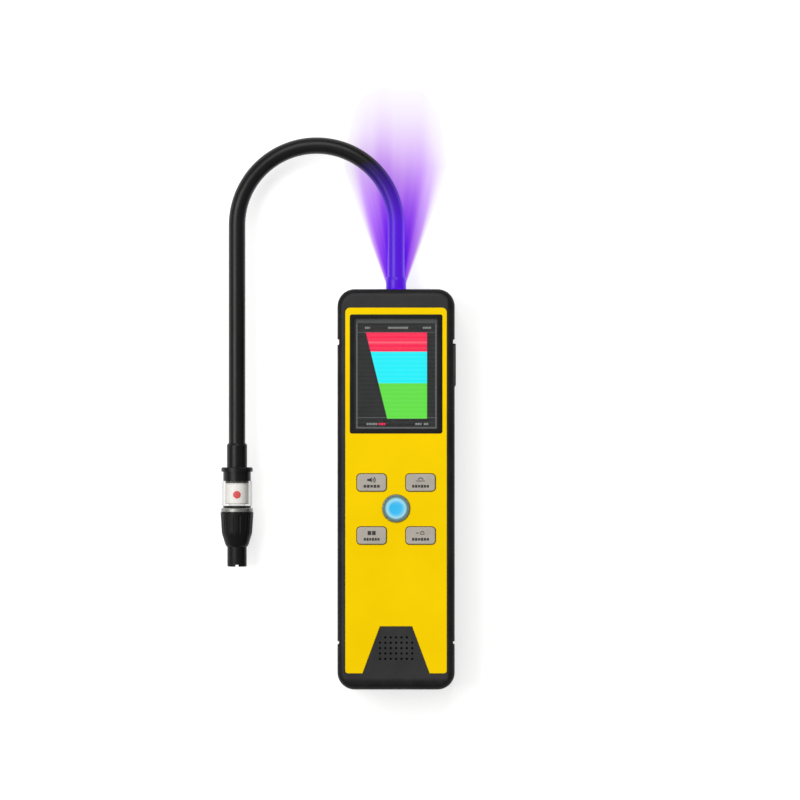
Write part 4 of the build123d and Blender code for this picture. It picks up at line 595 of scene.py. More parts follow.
def glowing(name, colour, strength, centre, rings=(), lift=0.0, **values):
    """A lit plastic part, with other colours outwards from given radii, and perhaps a painted highlight
    towards +Y.
    """
    material, wires, shader, place = start_material(name, Emission_Strength=strength, **values)
    moved = wires.add("ShaderNodeMapping", Vector=place, Location=[-part for part in centre])
    parts = wires.split(moved.outputs[0])
    radius = wires.measure("LENGTH", wires.vector(X=parts["X"], Y=parts["Y"]))
    glow = colour
    for start, end, ring_colour in rings:
        glow = wires.blend(wires.stretch(radius, start, end), glow, ring_colour)
    cloud = wires.noise(place, GLOW_CLOUDS, detail=3.0)
    # Painted highlight: the part turns whiter towards +Y, broken up by a soft cloud
    painted_highlight = wires.stretch(parts["Y"], *HIGHLIGHT_EDGE, 0.0, lift)
    soft = wires.times(painted_highlight, wires.stretch(cloud, 0.2, 0.8, 0.8, 1.0))
    glow = wires.blend(soft, glow, WHITE)
    wires.feed(shader, Emission_Color=glow, Base_Color=wires.blend(UNLIT_SHARE, glow, BLACK))
    wires.bump(shader, cloud, 0.004 * MM)
    return material


def fibre(name, colour):
    """Pressed white fibre of the filter, with fine streaks and clumps."""
    material, wires, shader, place = start_material(name, Roughness=0.9)
    drawn = wires.add("ShaderNodeMapping", Vector=place, Scale=(1.0, 0.22, 1.0)).outputs[0]
    threads = wires.noise(drawn, 1 / FIBRE_SIZE, detail=4.0, roughness=0.7)
    clumps = wires.cells(place, FIBRE_CLUMPS)
    wires.feed(shader, Base_Color=wires.blend(wires.stretch(threads, 0.3, 0.7), shade(colour, 0.93), colour))
    wires.bump(shader, wires.math("MULTIPLY_ADD", clumps, 0.6, threads), 0.03 * MM)
    return material


def circuit_board(name, colour, track_colour, pad_colour):
    """A circuit board: lacquer over copper tracks, with rows of round pads."""
    material, wires, shader, place = start_material(name, Coat_Weight=0.4, Coat_Roughness=0.2)
    tracks = wires.add("ShaderNodeTexBrick", {"offset": 0.35, "squash": 1.6, "squash_frequency": 3},
                       Vector=place, Color1=BLACK, Color2=(0.25, 0.25, 0.25), Mortar=WHITE,
                       Scale=BOARD_TRACKS, Mortar_Size=0.035, Mortar_Smooth=0.1, Brick_Width=1.4,
                       Row_Height=0.24)
    pads = wires.add("ShaderNodeTexVoronoi", Vector=place, Scale=BOARD_PADS, Randomness=0.35)
    on_pad = wires.stretch(pads.outputs["Distance"], 0.13, 0.16, 1.0, 0.0)
    copper = wires.blend(tracks.outputs["Color"], colour, track_colour)
    wires.feed(shader, Base_Color=wires.blend(on_pad, copper, pad_colour), Metallic=on_pad,
               Roughness=wires.stretch(on_pad, 0.0, 1.0, 0.42, 0.28))
    wires.bump(shader, on_pad, 0.02 * MM)
    return material


# The cell's sleeve: its pale band's distance from the end and half width, and the length of its bare cap
CELL_BAND = 8 * MM
CELL_BAND_HALF = 2.5 * MM
CELL_CAP = 1.2 * MM


def wrapped_cell(name, colour, band_colour, cap_colour):
    """The shrunk sleeve of a round cell, with a plain pale band near one end."""
    material, wires, shader, place = start_material(name, Roughness=0.32, Coat_Weight=0.3)
    along = wires.split(place)["Y"]
    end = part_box("battery_cell")[1].y
    at_band = wires.math("LESS_THAN", wires.distance(along, end - CELL_BAND), CELL_BAND_HALF)
    at_cap = wires.math("GREATER_THAN", along, end - CELL_CAP)
    paint = wires.blend(at_cap, wires.blend(at_band, colour, band_colour), cap_colour)
    wires.feed(shader, Base_Color=paint, Metallic=at_cap)
    wires.bump(shader, wires.noise(place, WRAP_CREASES, detail=4.0, distortion=0.4), 0.05 * MM)
    return material


# Meshes

def new_object(name, data):
    """An object in the scene with the given data."""
    made = bpy.data.objects.new(name, data)
    bpy.context.scene.collection.objects.link(made)
    return made


def new_piece(name, mesh, material, body=None):
    """A piece at the origin, which rides on a body if one is given."""
    piece = new_object(name, mesh)
    mesh.materials.clear()
    mesh.materials.append(material)
    if body:
        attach(piece, body)
    return piece


def dress(material, *nodes):
    """Gives CAD nodes a material in place of their packed one."""
    for name in nodes:
        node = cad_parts[name]
        if not node.material_slots:
            node.data.materials.append(material)
        for spot in node.material_slots:
            spot.material = material


def slabs_mesh(name, outlines, low, high):
    """One mesh of several upright slabs, whose outlines run anticlockwise."""
    shape = bmesh.new()
    for outline in outlines:
        bottom, top = ([shape.verts.new((x, y, z)) for x, y in outline] for z in (low, high))
        shape.faces.new(bottom[::-1])
        shape.faces.new(top)
        for i in range(len(outline)):
            shape.faces.new((bottom[i - 1], bottom[i], top[i], top[i - 1]))
    bmesh.ops.recalc_face_normals(shape, faces=shape.faces)
    return mesh_of(name, shape)


def joined(name, meshes):
    """Several meshes of one material as one."""
    shape = bmesh.new()
    for mesh in meshes:
        shape.from_mesh(mesh)
    return mesh_of(name, shape)


def mesh_of(name, shape):
    """A bmesh as a plain mesh."""
    mesh = bpy.data.meshes.new(name)
    shape.to_mesh(mesh)
    shape.free()
    return mesh


def rectangle(x0, y0, x1, y1):
    """The corners of a rectangle, anticlockwise."""
    return [(x0, y0), (x1, y0), (x1, y1), (x0, y1)]


def arc_band(x, y, radius, width, start, end, count=12):
    """A bent strip along a circle's arc, from one angle to another, in degrees."""
    angles = [math.radians(start + (end - start) * i / count) for i in range(count + 1)]
    outer, inner = ([(x + reach * math.cos(a), y + reach * math.sin(a)) for a in angles]
                    for reach in (radius, radius - width))
    return outer + inner[::-1]


def modified_mesh(name, data, kind, prepare):
    """What one modifier makes of a mesh or a curve, as a plain mesh."""
    holder = new_object(name + "_holder", data)
    modifier = holder.modifiers.new(name, kind)
    prepare(modifier)
    depsgraph = bpy.context.evaluated_depsgraph_get()
    mesh = bpy.data.meshes.new_from_object(holder.evaluated_get(depsgraph), depsgraph=depsgraph)
    mesh.name = name
    holder.modifiers.remove(modifier)
    bpy.data.objects.remove(holder)
    return mesh


# Geometry Nodes

def run_tree(name, build, start_data, values):
    """Runs a shared tree of Geometry Nodes and gives back its result as a plain mesh."""
    def prepare(modifier):
        modifier.node_group = shared(build)
        for item in modifier.node_group.interface.items_tree:
            if item.item_type == "SOCKET" and item.in_out == "INPUT" and item.name in values:
                modifier[item.identifier] = values[item.name]

    return modified_mesh(name, start_data, "NODES", prepare)


def geometry_tree(name, inputs):
    """A tree of Geometry Nodes with named inputs and one geometry output."""
    sockets = {"Geometry": "NodeSocketGeometry", **inputs, "Material": "NodeSocketMaterial"}
    return new_group(name, sockets, ("Geometry",), "GeometryNodeTree", "NodeSocketGeometry")


def close_tree(wires, entry, leave, geometry, smooth=True):
    """Ends a tree: real geometry, its shading and its material."""
    real = wires.add("GeometryNodeRealizeInstances", Geometry=geometry)
    shaded = wires.add("GeometryNodeSetShadeSmooth", Geometry=real.outputs[0], Shade_Smooth=smooth)
    painted = wires.add("GeometryNodeSetMaterial", Geometry=shaded.outputs[0], Material=entry["Material"])
    wires.put(leave["Geometry"], painted.outputs[0])


def gooseneck_tube():
    """A tree that draws a round skin along a curve, with rings of grooves if asked."""
    tree, wires, entry, leave = geometry_tree("gooseneck_tube", {
        "Radius": 4 * MM, "Ring Spacing": 1.5 * MM, "Groove Pitch": 3 * MM, "Groove Depth": 0.0, "Sides": 32})
    even = wires.add("GeometryNodeResampleCurve", {"mode": "LENGTH"}, Curve=entry["Geometry"],
                     Length=entry["Ring Spacing"])
    along = wires.add("GeometryNodeSplineParameter").outputs["Length"]
    phase = wires.times(wires.math("DIVIDE", along, entry["Groove Pitch"]), 2 * math.pi)
    groove = wires.math("MULTIPLY_ADD", wires.math("COSINE", phase), 0.5, 0.5)
    depth = wires.math("DIVIDE", wires.times(groove, entry["Groove Depth"]), entry["Radius"])
    sized = wires.add("GeometryNodeSetCurveRadius", Curve=even.outputs[0],
                      Radius=wires.math("SUBTRACT", 1.0, depth))
    circle = wires.add("GeometryNodeCurvePrimitiveCircle", Resolution=entry["Sides"], Radius=entry["Radius"])
    skin = wires.add("GeometryNodeCurveToMesh", Curve=sized.outputs[0], Profile_Curve=circle.outputs[0])
    close_tree(wires, entry, leave, skin.outputs[0])
    return tree


def dash_row():
    """A tree that sets a row of small dashes of uneven height, which stands for a printed word."""
    tree, wires, entry, leave = geometry_tree("dash_row", {
        "Count": 4, "Pitch": 1 * MM, "Dash Size": (0.8 * MM, 1 * MM, 0.1 * MM), "Start": ORIGIN})
    row = wires.add("GeometryNodeMeshLine", {"mode": "OFFSET"}, Count=entry["Count"],
                    Offset=wires.vector(X=entry["Pitch"]), Start_Location=entry["Start"])
    dash = wires.add("GeometryNodeMeshCube", Size=entry["Dash Size"])
    number = wires.add("GeometryNodeInputIndex").outputs[0]
    high = wires.stretch(wires.math("SINE", wires.times(number, 2.4)), -1.0, 1.0, 0.78, 1.0)
    placed = wires.add("GeometryNodeInstanceOnPoints", Points=row.outputs[0], Instance=dash.outputs[0],
                       Scale=wires.vector(X=1.0, Y=high, Z=1.0))
    close_tree(wires, entry, leave, placed.outputs[0], smooth=False)
    return tree


def woven_gauze():
    """A tree that weaves a round piece of gauze from wires that pass over and under each other."""
    tree, wires, entry, leave = geometry_tree("woven_gauze", {
        "Half Width": 10 * MM, "Half Length": 7 * MM, "Round Radius": 9.8 * MM, "Pitch": 0.6 * MM,
        "Wire Radius": 0.06 * MM, "Centre": ORIGIN})
    pitch = entry["Pitch"]
    lift = wires.times(entry["Wire Radius"], 1.05)
    both = wires.add("GeometryNodeJoinGeometry")
    for axis, cross, reach, other, sign in (("X", "Y", "Half Width", "Half Length", 1.0),
                                            ("Y", "X", "Half Length", "Half Width", -1.0)):
        rows = wires.math("FLOOR", wires.math("DIVIDE", entry[other], pitch))
        first = wires.times(rows, -1.0, pitch)
        wire = wires.add("GeometryNodeCurvePrimitiveLine",
                         Start=wires.vector(**{axis: wires.times(entry[reach], -1.0)}),
                         End=wires.vector(**{axis: entry[reach]}))
        fine = wires.add("GeometryNodeResampleCurve", {"mode": "LENGTH"}, Curve=wire.outputs[0],
                         Length=wires.times(pitch, 0.5))
        points = wires.add("GeometryNodeMeshLine", {"mode": "OFFSET"},
                           Count=wires.math("MULTIPLY_ADD", rows, 2.0, 1.0),
                           Offset=wires.vector(**{cross: pitch}),
                           Start_Location=wires.vector(**{cross: first}))
        many = wires.add("GeometryNodeInstanceOnPoints", Points=points.outputs[0], Instance=fine.outputs[0])
        real = wires.add("GeometryNodeRealizeInstances", Geometry=many.outputs[0])
        wires.put(both.inputs[0], waved_wires(wires, entry, real.outputs[0], wires.times(lift, sign)))
    ring = wires.add("GeometryNodeCurvePrimitiveCircle", Resolution=5, Radius=entry["Wire Radius"])
    skin = wires.add("GeometryNodeCurveToMesh", Curve=both.outputs[0], Profile_Curve=ring.outputs[0],
                     Fill_Caps=True)
    placed = wires.add("GeometryNodeTransform", Geometry=skin.outputs[0], Translation=entry["Centre"])
    close_tree(wires, entry, leave, placed.outputs[0])
    return tree


def waved_wires(wires, entry, curves, height):
    """Lifts and lowers straight wires where they cross, and cuts them to the round outline."""
    place = wires.add("GeometryNodeInputPosition").outputs[0]
    parts = wires.split(place)
    waves = [wires.math("COSINE", wires.times(wires.math("DIVIDE", parts[axis], entry["Pitch"]), math.pi))
             for axis in ("X", "Y")]
    moved = wires.add("GeometryNodeSetPosition", Geometry=curves,
                      Offset=wires.vector(Z=wires.times(*waves, height)))
    after = wires.add("GeometryNodeInputPosition").outputs[0]
    outside = wires.math("GREATER_THAN", wires.measure("LENGTH", after), entry["Round Radius"])
    cut = wires.add("GeometryNodeDeleteGeometry", {"domain": "POINT"}, Geometry=moved.outputs[0],
                    Selection=outside)
    return cut.outputs[0]


# Operators

# Painted shade on the shell's left, right and foot rims, weaker on the left as if lit from there: axis,
# where each starts, where it is full, how dark it is
PAINTED_RIM_SHADE = (("X", -26.6 * MM, -28.2 * MM, 0.75), ("X", 26.4 * MM, 27.4 * MM, 1.0),
             ("Y", -98.2 * MM, -100.2 * MM, 1.0))


class DETECTOR_OT_housing(bpy.types.Operator):
    """Gives the two shells, the grips, the port cover and the socket their finishes"""

    bl_idname = "detector.housing"
    bl_label = "Dress the housing"

    def execute(self, context):
        look = settings().housing
        # The shell's sides and rims carry painted shade
        shell = moulded(
            "housing_plastic", look.housing, roughness=0.5, grain=look.grain_size, depth=0.016 * MM,
            tone=0.14, wear=look.edge_wear, wear_colour=srgb(60, 60, 62), dust=look.dust,
            side=look.painted_side_shade, rims=PAINTED_RIM_SHADE, Specular_IOR_Level=0.16)
        rubber = moulded(
            "grip_rubber", look.grip, roughness=0.72, grain=0.22 * MM, depth=0.03 * MM, tone=0.2,
            wear=0.15, dust=0.04, Specular_IOR_Level=0.24)
        cover = moulded(
            "cover_rubber", look.cover, roughness=0.6, grain=0.25 * MM, depth=0.02 * MM, tone=0.2,
            wear=0.12, wear_colour=srgb(92, 58, 62), dust=0.03, Specular_IOR_Level=0.15)
        dress(shell, "front_shell", "rear_shell")
        dress(rubber, "left_grip", "right_grip")
        dress(cover, "port_cover")
        dress(turned_metal("socket_steel", srgb(196, 196, 194), 0.25, (40.0, 1.0, 1.0)), "usb_socket")
        return {"FINISHED"}


class DETECTOR_OT_panel(bpy.types.Operator):
    """Gives the yellow panel and the black window frame their finishes"""

    bl_idname = "detector.panel"
    bl_label = "Dress the front panel"

    def execute(self, context):
        look = settings().housing
        yellow = moulded(
            "panel_yellow", look.panel, roughness=0.4, grain=0.5 * MM, depth=0.006 * MM, tone=0.05,
            wear=0.22, wear_colour=srgb(255, 230, 70), patch=45 * MM, Specular_IOR_Level=0.4,
            Specular_Tint=(1.0, 0.78, 0.08))
        black = moulded(
            "frame_black", look.window_frame, roughness=0.3, grain=0.4 * MM, depth=0.003 * MM, tone=0.15,
            wear=0.3, wear_colour=srgb(70, 70, 70), edge=0.25 * MM, Specular_IOR_Level=0.25)
        dress(yellow, "front_panel")
        dress(black, "window_frame")
        return {"FINISHED"}


# The picture on the display, in millimetres from the middle of the back face
BAND_TOP_LEFT = -15.8
BAND_BOTTOM_LEFT = -4.65
BAND_RIGHT = 16.15
BAND_EDGES = (81.85, 71.85, 55.4, 36.9)
BAND_LIGHT_LINE = 76.7
FRAME_LEFT = -20.85
FRAME_RIGHT = 21.15
FRAME_TOP = 88.75
FRAME_BOTTOM = 31.75
FRAME_LINE = 0.75
FRAME_TOP_LINE = 2.1
FRAME_RULES = (81.95, 37.5)
RULE_WIDTH = 0.3

# The lit layer's height over the display in millimetres, and the rules' thickness as a share of the layer's
LAYER_GAP = 0.02
RULE_THICKNESS = 0.8

# Its two rows of marks: kind, middle, count of dashes and width of each mark, and the share of its step that
# a dash fills
TOP_ROW_Y = 84.3
BOTTOM_ROW_Y = 34.1
STATUS_MARKS = (("mark", -14.95, TOP_ROW_Y, 3, 2.7), ("mark", 1.0, TOP_ROW_Y, 10, 10.4),
                ("mark", 16.1, TOP_ROW_Y, 4, 4.2), ("mark", -12.6, BOTTOM_ROW_Y, 5, 5.6),
                ("alert", -7.35, BOTTOM_ROW_Y, 3, 3.5), ("mark", 11.7, BOTTOM_ROW_Y, 3, 3.2),
                ("mark", 15.6, BOTTOM_ROW_Y, 2, 2.2))
STATUS_MARK_HEIGHT = 1.15
DASH_SHARE = 0.78


def band_left(y):
    """The slanted left edge of the bands at one height."""
    share = (BAND_EDGES[0] - y) / (BAND_EDGES[0] - BAND_EDGES[-1])
    return BAND_TOP_LEFT + share * (BAND_BOTTOM_LEFT - BAND_TOP_LEFT)


def in_metres(outlines, x=0.0, y=0.0):
    """Outlines in millimetres about a point, as metres."""
    return [[(x + across * MM, y + along * MM) for across, along in outline] for outline in outlines]


def dashes(name, x, y, z, count, width, height, thickness, material):
    """A row of dashes about a centre, with its whole width and its height in millimetres."""
    pitch = width * MM / (count - 1 + DASH_SHARE)
    values = {"Count": count, "Pitch": pitch, "Dash Size": (pitch * DASH_SHARE, height * MM, thickness),
              "Start": (x - width * MM / 2 + pitch * DASH_SHARE / 2, y, z + thickness / 2),
              "Material": material}
    return run_tree(name, dash_row, bpy.data.meshes.new(name + "_start"), values)


class DETECTOR_OT_display(bpy.types.Operator):
    """Lights the display, draws its bands, rules and marks, and glazes the window"""

    bl_idname = "detector.display"
    bl_label = "Build the display picture"

    def execute(self, context):
        look = settings().display
        dress(screen("display_dark", look.background, rows=0.01), "display_panel")
        dress(clear("window_clear", (0.98, 0.99, 0.99), roughness=0.0, haze=0.02, ior=1.18), "display_window")
        dress(moulded("tray_plastic", srgb(214, 212, 205), roughness=0.5, tone=0.06), "display_tray")
        low = SCREEN_TOP + LAYER_GAP * MM
        bands = (("upper", look.alarm_band, BAND_LIGHT_LINE * MM), ("middle", look.middle_band, None),
                 ("lower", look.lower_band, None))
        for (band, colour, line_y), top, bottom in zip(bands, BAND_EDGES, BAND_EDGES[1:]):
            outline = [(band_left(bottom), bottom), (BAND_RIGHT, bottom), (BAND_RIGHT, top),
                       (band_left(top), top)]
            self.layer(f"display_{band}_band", [outline], low, look.thickness, colour, line_y)
        self.rules(look, low)
        self.marks(look, low)
        return {"FINISHED"}

    def layer(self, name, outlines, low, thickness, colour, line_y=None):
        """A lit layer of the picture, drawn by its outlines in millimetres."""
        mesh = slabs_mesh(name, in_metres(outlines), low, low + thickness)
        new_piece(name, mesh, screen(name, colour, line_y=line_y), "housing")

    def rules(self, look, low):
        """The grey frame, its dimmer top strip and the two thin rules."""
        left, right = FRAME_LEFT + FRAME_LINE, FRAME_RIGHT - FRAME_LINE
        low_edge, high_edge = FRAME_BOTTOM + FRAME_LINE, FRAME_TOP - FRAME_TOP_LINE
        strips = [(FRAME_LEFT, FRAME_BOTTOM, FRAME_RIGHT, low_edge), (FRAME_LEFT, low_edge, left, high_edge),
                  (right, low_edge, FRAME_RIGHT, high_edge)]
        strips += [(left, y - RULE_WIDTH / 2, right, y + RULE_WIDTH / 2) for y in FRAME_RULES]
        top = [(FRAME_LEFT, high_edge, FRAME_RIGHT, FRAME_TOP)]
        for name, group, colour in (("display_rule", strips, look.rule),
                                    ("display_top_strip", top, shade(look.rule, 0.5))):
            outlines = [rectangle(*strip) for strip in group]
            self.layer(name, outlines, low, look.thickness * RULE_THICKNESS, colour)

    def marks(self, look, low):
        """The two rows of status marks, as dashes."""
        for kind, colour in (("mark", look.mark), ("alert", look.alarm_band)):
            material = screen(f"display_{kind}", colour)
            name = f"display_{kind}s"
            rows = [row[1:] for row in STATUS_MARKS if row[0] == kind]
            meshes = [dashes(name, x * MM, y * MM, low, count, width, STATUS_MARK_HEIGHT, look.thickness,
                             material) for x, y, count, width in rows]
            new_piece(name, joined(name, meshes), material, "housing")


# The marks on the keys, in millimetres: how far they stand out and reach in, where pictogram and word sit,
# the word's height, and each word's count of dashes and width
KEY_MARK_HEIGHT = 0.025
KEY_MARK_SINK = 0.05
KEY_ICON_RISE = 1.35
KEY_WORD_DROP = -1.95
KEY_WORD_HEIGHT = 1.6
KEY_WORDS = {"key_top_left": (5, 8.4), "key_top_right": (6, 8.8), "key_bottom_left": (6, 8.2),
             "key_bottom_right": (6, 8.8)}


def key_icons():
    """Plain pictograms for the keys, in millimetres about each key's icon centre."""
    horn = [[(-2.3, -0.6), (-1.3, -0.6), (0.1, -1.15), (0.1, 1.15), (-1.3, 0.6), (-2.3, 0.6)],
            arc_band(0.0, 0.0, 1.15, 0.5, -50, 50), arc_band(0.0, 0.0, 2.1, 0.5, -50, 50)]
    slope = [rectangle(-2.3, -0.75, 2.3, -0.35), arc_band(0.1, -0.2, 1.5, 0.45, 15, 165)]
    blocks = [rectangle(-2.1, -1.1, -0.2, 1.05), rectangle(0.2, -1.1, 2.1, 1.05)]
    dial = [arc_band(0.9, -0.1, 1.15, 0.4, 0, 180), rectangle(-2.4, -0.25, -0.9, 0.2),
            rectangle(-0.35, -0.8, 2.15, -0.4)]
    return dict(zip(KEY_NAMES, (horn, slope, blocks, dial)))


class DETECTOR_OT_keys(bpy.types.Operator):
    """Gives the four keys their finish, pictograms and word marks"""

    bl_idname = "detector.keys"
    bl_label = "Dress the keys"

    def execute(self, context):
        look = settings().housing
        grey = moulded("key_grey", look.key, roughness=0.5, depth=0.01 * MM, tone=0.08, wear=0.35,
                       wear_colour=srgb(206, 204, 200), patch=6 * MM)
        ink = moulded("key_ink", look.key_mark, roughness=0.6, grain=0.15 * MM, tone=0.3, patch=1.5 * MM)
        dress(grey, *KEY_NAMES)
        for name, outlines in key_icons().items():
            centre = middle_of(name)
            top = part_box(name)[1].z
            low, high = top - KEY_MARK_SINK * MM, top + KEY_MARK_HEIGHT * MM
            outlines = in_metres(outlines, centre.x, centre.y + KEY_ICON_RISE * MM)
            icon = slabs_mesh(name + "_icon", outlines, low, high)
            word = dashes(name + "_word", centre.x, centre.y + KEY_WORD_DROP * MM, low, *KEY_WORDS[name],
                          KEY_WORD_HEIGHT, high - low, ink)
            new_piece(name + "_marks", joined(name + "_marks", [icon, word]), ink, name)
        return {"FINISHED"}


# Colours outwards over the button and its light ring: where each starts, where it is full, and the colour.
# Both glow equally, and the button carries a painted highlight towards its top.
BUTTON_RINGS = ((3.2 * MM, 4.5 * MM, srgb(150, 224, 245)),)
BUTTON_STRENGTH = 0.6
BUTTON_HIGHLIGHT = 0.12
LIGHT_RING_START = (3.9 * MM, 4.6 * MM)
LIGHT_RING_OUTSIDE = (4.8 * MM, 5.9 * MM, srgb(98, 136, 142))


class DETECTOR_OT_power_button(bpy.types.Operator):
    """Lights the power button and its ring, and finishes the rim round them"""

    bl_idname = "detector.power_button"
    bl_label = "Dress the power button"

    def execute(self, context):
        glow = settings().glow
        centre = middle_of("power_button")
        gloss = {"Roughness": 0.3, "Specular_IOR_Level": 0.3}
        # The button carries a painted highlight towards its top
        blue = glowing("button_blue", glow.button, BUTTON_STRENGTH, centre, BUTTON_RINGS, BUTTON_HIGHLIGHT,
                       **gloss)
        ring = glowing("light_ring_clear", srgb(120, 206, 238), BUTTON_STRENGTH, centre,
                       ((*LIGHT_RING_START, glow.light_ring), LIGHT_RING_OUTSIDE), **gloss)
        dress(blue, "power_button")
        dress(ring, "power_light_ring")
        dress(turned_metal("rim_metal", srgb(138, 150, 134), 0.4, (1.0, 1.0, 30.0)), "power_rim")
        return {"FINISHED"}


# Share of a quarter turn's radius that each handle reaches, so that a Bezier curve is nearly round, and the
# curve's steps between two of its points
ROUND_PULL = 4 / 3 * (math.sqrt(2) - 1)
CURVE_STEPS = 48
# How far above the gland's low end the sheath and spine start, and how far above the collar the tubes end
NECK_SEAT = 4 * MM
SHEATH_STOP = 2 * MM
TUBE_STOP = 1 * MM
# The sample tube's bend inside the housing, and its port's distance from the infrared cell's end
TUBE_BEND = 4 * MM
TUBE_PORT = 7 * MM
# Sides of the spine and the sample tube, and rings of the spine's mesh to each rib
THIN_SIDES = 24
STEPS_PER_RIB = 5


def neck_route(start_y, end_y):
    """The gooseneck's middle line as points with two handles each: up, half a turn to the left, and down."""
    pull = NECK_RADIUS * ROUND_PULL
    rise = (TURN_Y - start_y) / 3
    drop = (TURN_Y - end_y) / 3
    return [(0, start_y, (0, -rise), (0, rise)),
            (0, TURN_Y, (0, -rise), (0, pull)),
            (-NECK_RADIUS, CREST_Y, (pull, 0), (-pull, 0)),
            (PROBE_X, TURN_Y, (0, pull), (0, -drop)),
            (PROBE_X, end_y, (0, drop), (0, -drop))]


def tube_route(end_y):
    """The sample tube's middle line: a bend out of the infrared cell, and then the gooseneck's."""
    port_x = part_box("sample_tube")[1].x
    port_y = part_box("infrared_cell")[1].y - TUBE_PORT
    pull = TUBE_BEND * ROUND_PULL
    first, *others = neck_route(port_y + TUBE_BEND, end_y)
    return [(port_x, port_y, (MM, 0), (-MM, 0)), (TUBE_BEND, port_y, (MM, 0), (-pull, 0)),
            (*first[:2], (0, -pull), first[3]), *others]


def route_curve(name, points):
    """A curve at the gooseneck's height through the given points."""
    data = bpy.data.curves.new(name, "CURVE")
    data.dimensions = "3D"
    data.resolution_u = CURVE_STEPS
    spline = data.splines.new("BEZIER")
    spline.bezier_points.add(len(points) - 1)
    for point, (x, y, before, after) in zip(spline.bezier_points, points):
        centre = Vector((x, y, NECK_HEIGHT))
        point.co = centre
        point.handle_left_type = point.handle_right_type = "FREE"
        point.handle_left = centre + Vector((*before, 0))
        point.handle_right = centre + Vector((*after, 0))
    return data


class DETECTOR_OT_gooseneck(bpy.types.Operator):
    """Draws the gooseneck's sheath, spine and sample tube, which bend from the housing to the probe"""

    bl_idname = "detector.gooseneck"
    bl_label = "Build the gooseneck"

    def execute(self, context):
        sizes = settings().neck
        # The sheath carries the lamp's violet light, painted as an emission near the lens
        rubber = moulded(
            "sheath_rubber", settings().probe.sheath, roughness=0.33, grain=0.35 * MM, depth=0.008 * MM,
            tone=0.2, patch=30 * MM, dust=0.01, painted_lamp_light=True, Specular_IOR_Level=0.26)
        steel = turned_metal("spine_steel", srgb(176, 178, 180), 0.3, (1.0, 1.0, 1.0))
        soft = clear_hose("tube_clear")
        collar_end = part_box("probe_collar")[1].y
        neck = neck_route(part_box("neck_gland")[0].y + NECK_SEAT, collar_end + SHEATH_STOP)
        tubes = (
            ("neck_sheath", "gooseneck_sheath", rubber, "sheath_rubber", neck, sizes.sheath_diameter,
             sizes.sheath_wall, sizes.ring_spacing, 0.0, sizes.sides),
            ("neck_spine", "gooseneck_spine", steel, "spine_steel", neck, sizes.spine_diameter,
             sizes.spine_wall, sizes.spine_rib_pitch / STEPS_PER_RIB, sizes.spine_rib_depth, THIN_SIDES),
            ("sample_tube", "gooseneck_sample_tube", soft, "tube_clear", tube_route(collar_end + TUBE_STOP),
             sizes.tube_diameter, sizes.tube_wall, sizes.ring_spacing, 0.0, THIN_SIDES))
        for node, name, material, slot, route, diameter, wall, spacing, groove, sides in tubes:
            values = {"Radius": diameter / 2, "Ring Spacing": spacing, "Groove Pitch": sizes.spine_rib_pitch,
                      "Groove Depth": groove, "Sides": sides, "Material": material}
            skin = run_tree(name, gooseneck_tube, route_curve(name + "_route", route), values)
            piece = new_piece(name, self.thick(name, skin, wall), material)
            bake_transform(piece)
            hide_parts(node)
        return {"FINISHED"}

    def thick(self, name, skin, wall):
        """Gives an open skin its wall, closed at both ends."""
        def prepare(modifier):
            modifier.thickness = wall
            modifier.offset = -1.0
            modifier.use_rim = True

        return modified_mesh(name, skin, "SOLIDIFY", prepare)


class DETECTOR_OT_probe(bpy.types.Operator):
    """Gives the probe head its finishes: sleeve, collar, clear chamber, filter, rings, nozzle and tip"""

    bl_idname = "detector.probe"
    bl_label = "Dress the probe head"

    def execute(self, context):
        look = settings().probe
        black = moulded(
            "probe_black", look.body, roughness=0.36, depth=0.008 * MM, wear=0.1,
            wear_colour=srgb(60, 60, 60), Specular_IOR_Level=0.22)
        nozzle = moulded(
            "nozzle_black", look.body, roughness=0.42, grain=0.28 * MM, depth=0.01 * MM, tone=0.2, wear=0.1,
            wear_colour=srgb(60, 60, 60), Specular_IOR_Level=0.18)
        # The gland carries the lamp's violet light, painted as an emission near the lens
        gland = moulded(
            "gland_metal", look.body, roughness=0.34, grain=0.2 * MM, depth=0.006 * MM, wear=0.2,
            wear_colour=srgb(80, 80, 82), painted_lamp_light=True, Specular_IOR_Level=0.25)
        dress(black, "tip_sleeve", "probe_collar")
        dress(nozzle, "nozzle", "inlet_tip")
        dress(gland, "neck_gland", "neck_nut")
        dress(moulded("seal_rubber", srgb(16, 16, 16), roughness=0.35, tone=0.1), "seal_ring")
        dress(turned_metal("ring_silver", look.ring, 0.46, (1.0, 50.0, 1.0)), "clamp_ring")
        dress(moulded("marker_red", look.marker, roughness=0.5, tone=0.12, patch=2 * MM), "filter_marker")
        dress(fibre("filter_white", look.filter_element), "filter_element")
        dress(clear_wall("chamber_clear", srgb(188, 186, 179)), "filter_chamber")
        return {"FINISHED"}


# The lamp's spot of light: its width, soft edge and size, its distance from the lens, and how far off it aims
LAMP_SPREAD = math.radians(70)
LAMP_SOFT_EDGE = 0.9
LAMP_SIZE = 2 * MM
LAMP_GAP = 1.5 * MM
LAMP_AIM = 40 * MM


def hang_light(name, kind, place, target, power, colour, **options):
    """A light that points at a target."""
    data = bpy.data.lights.new(name, kind)
    data.energy = power
    data.color = colour
    for option, value in options.items():
        setattr(data, option, value)
    light = new_object(name, data)
    light.location = place
    light.rotation_euler = (target - light.location).to_track_quat("-Z", "Y").to_euler()


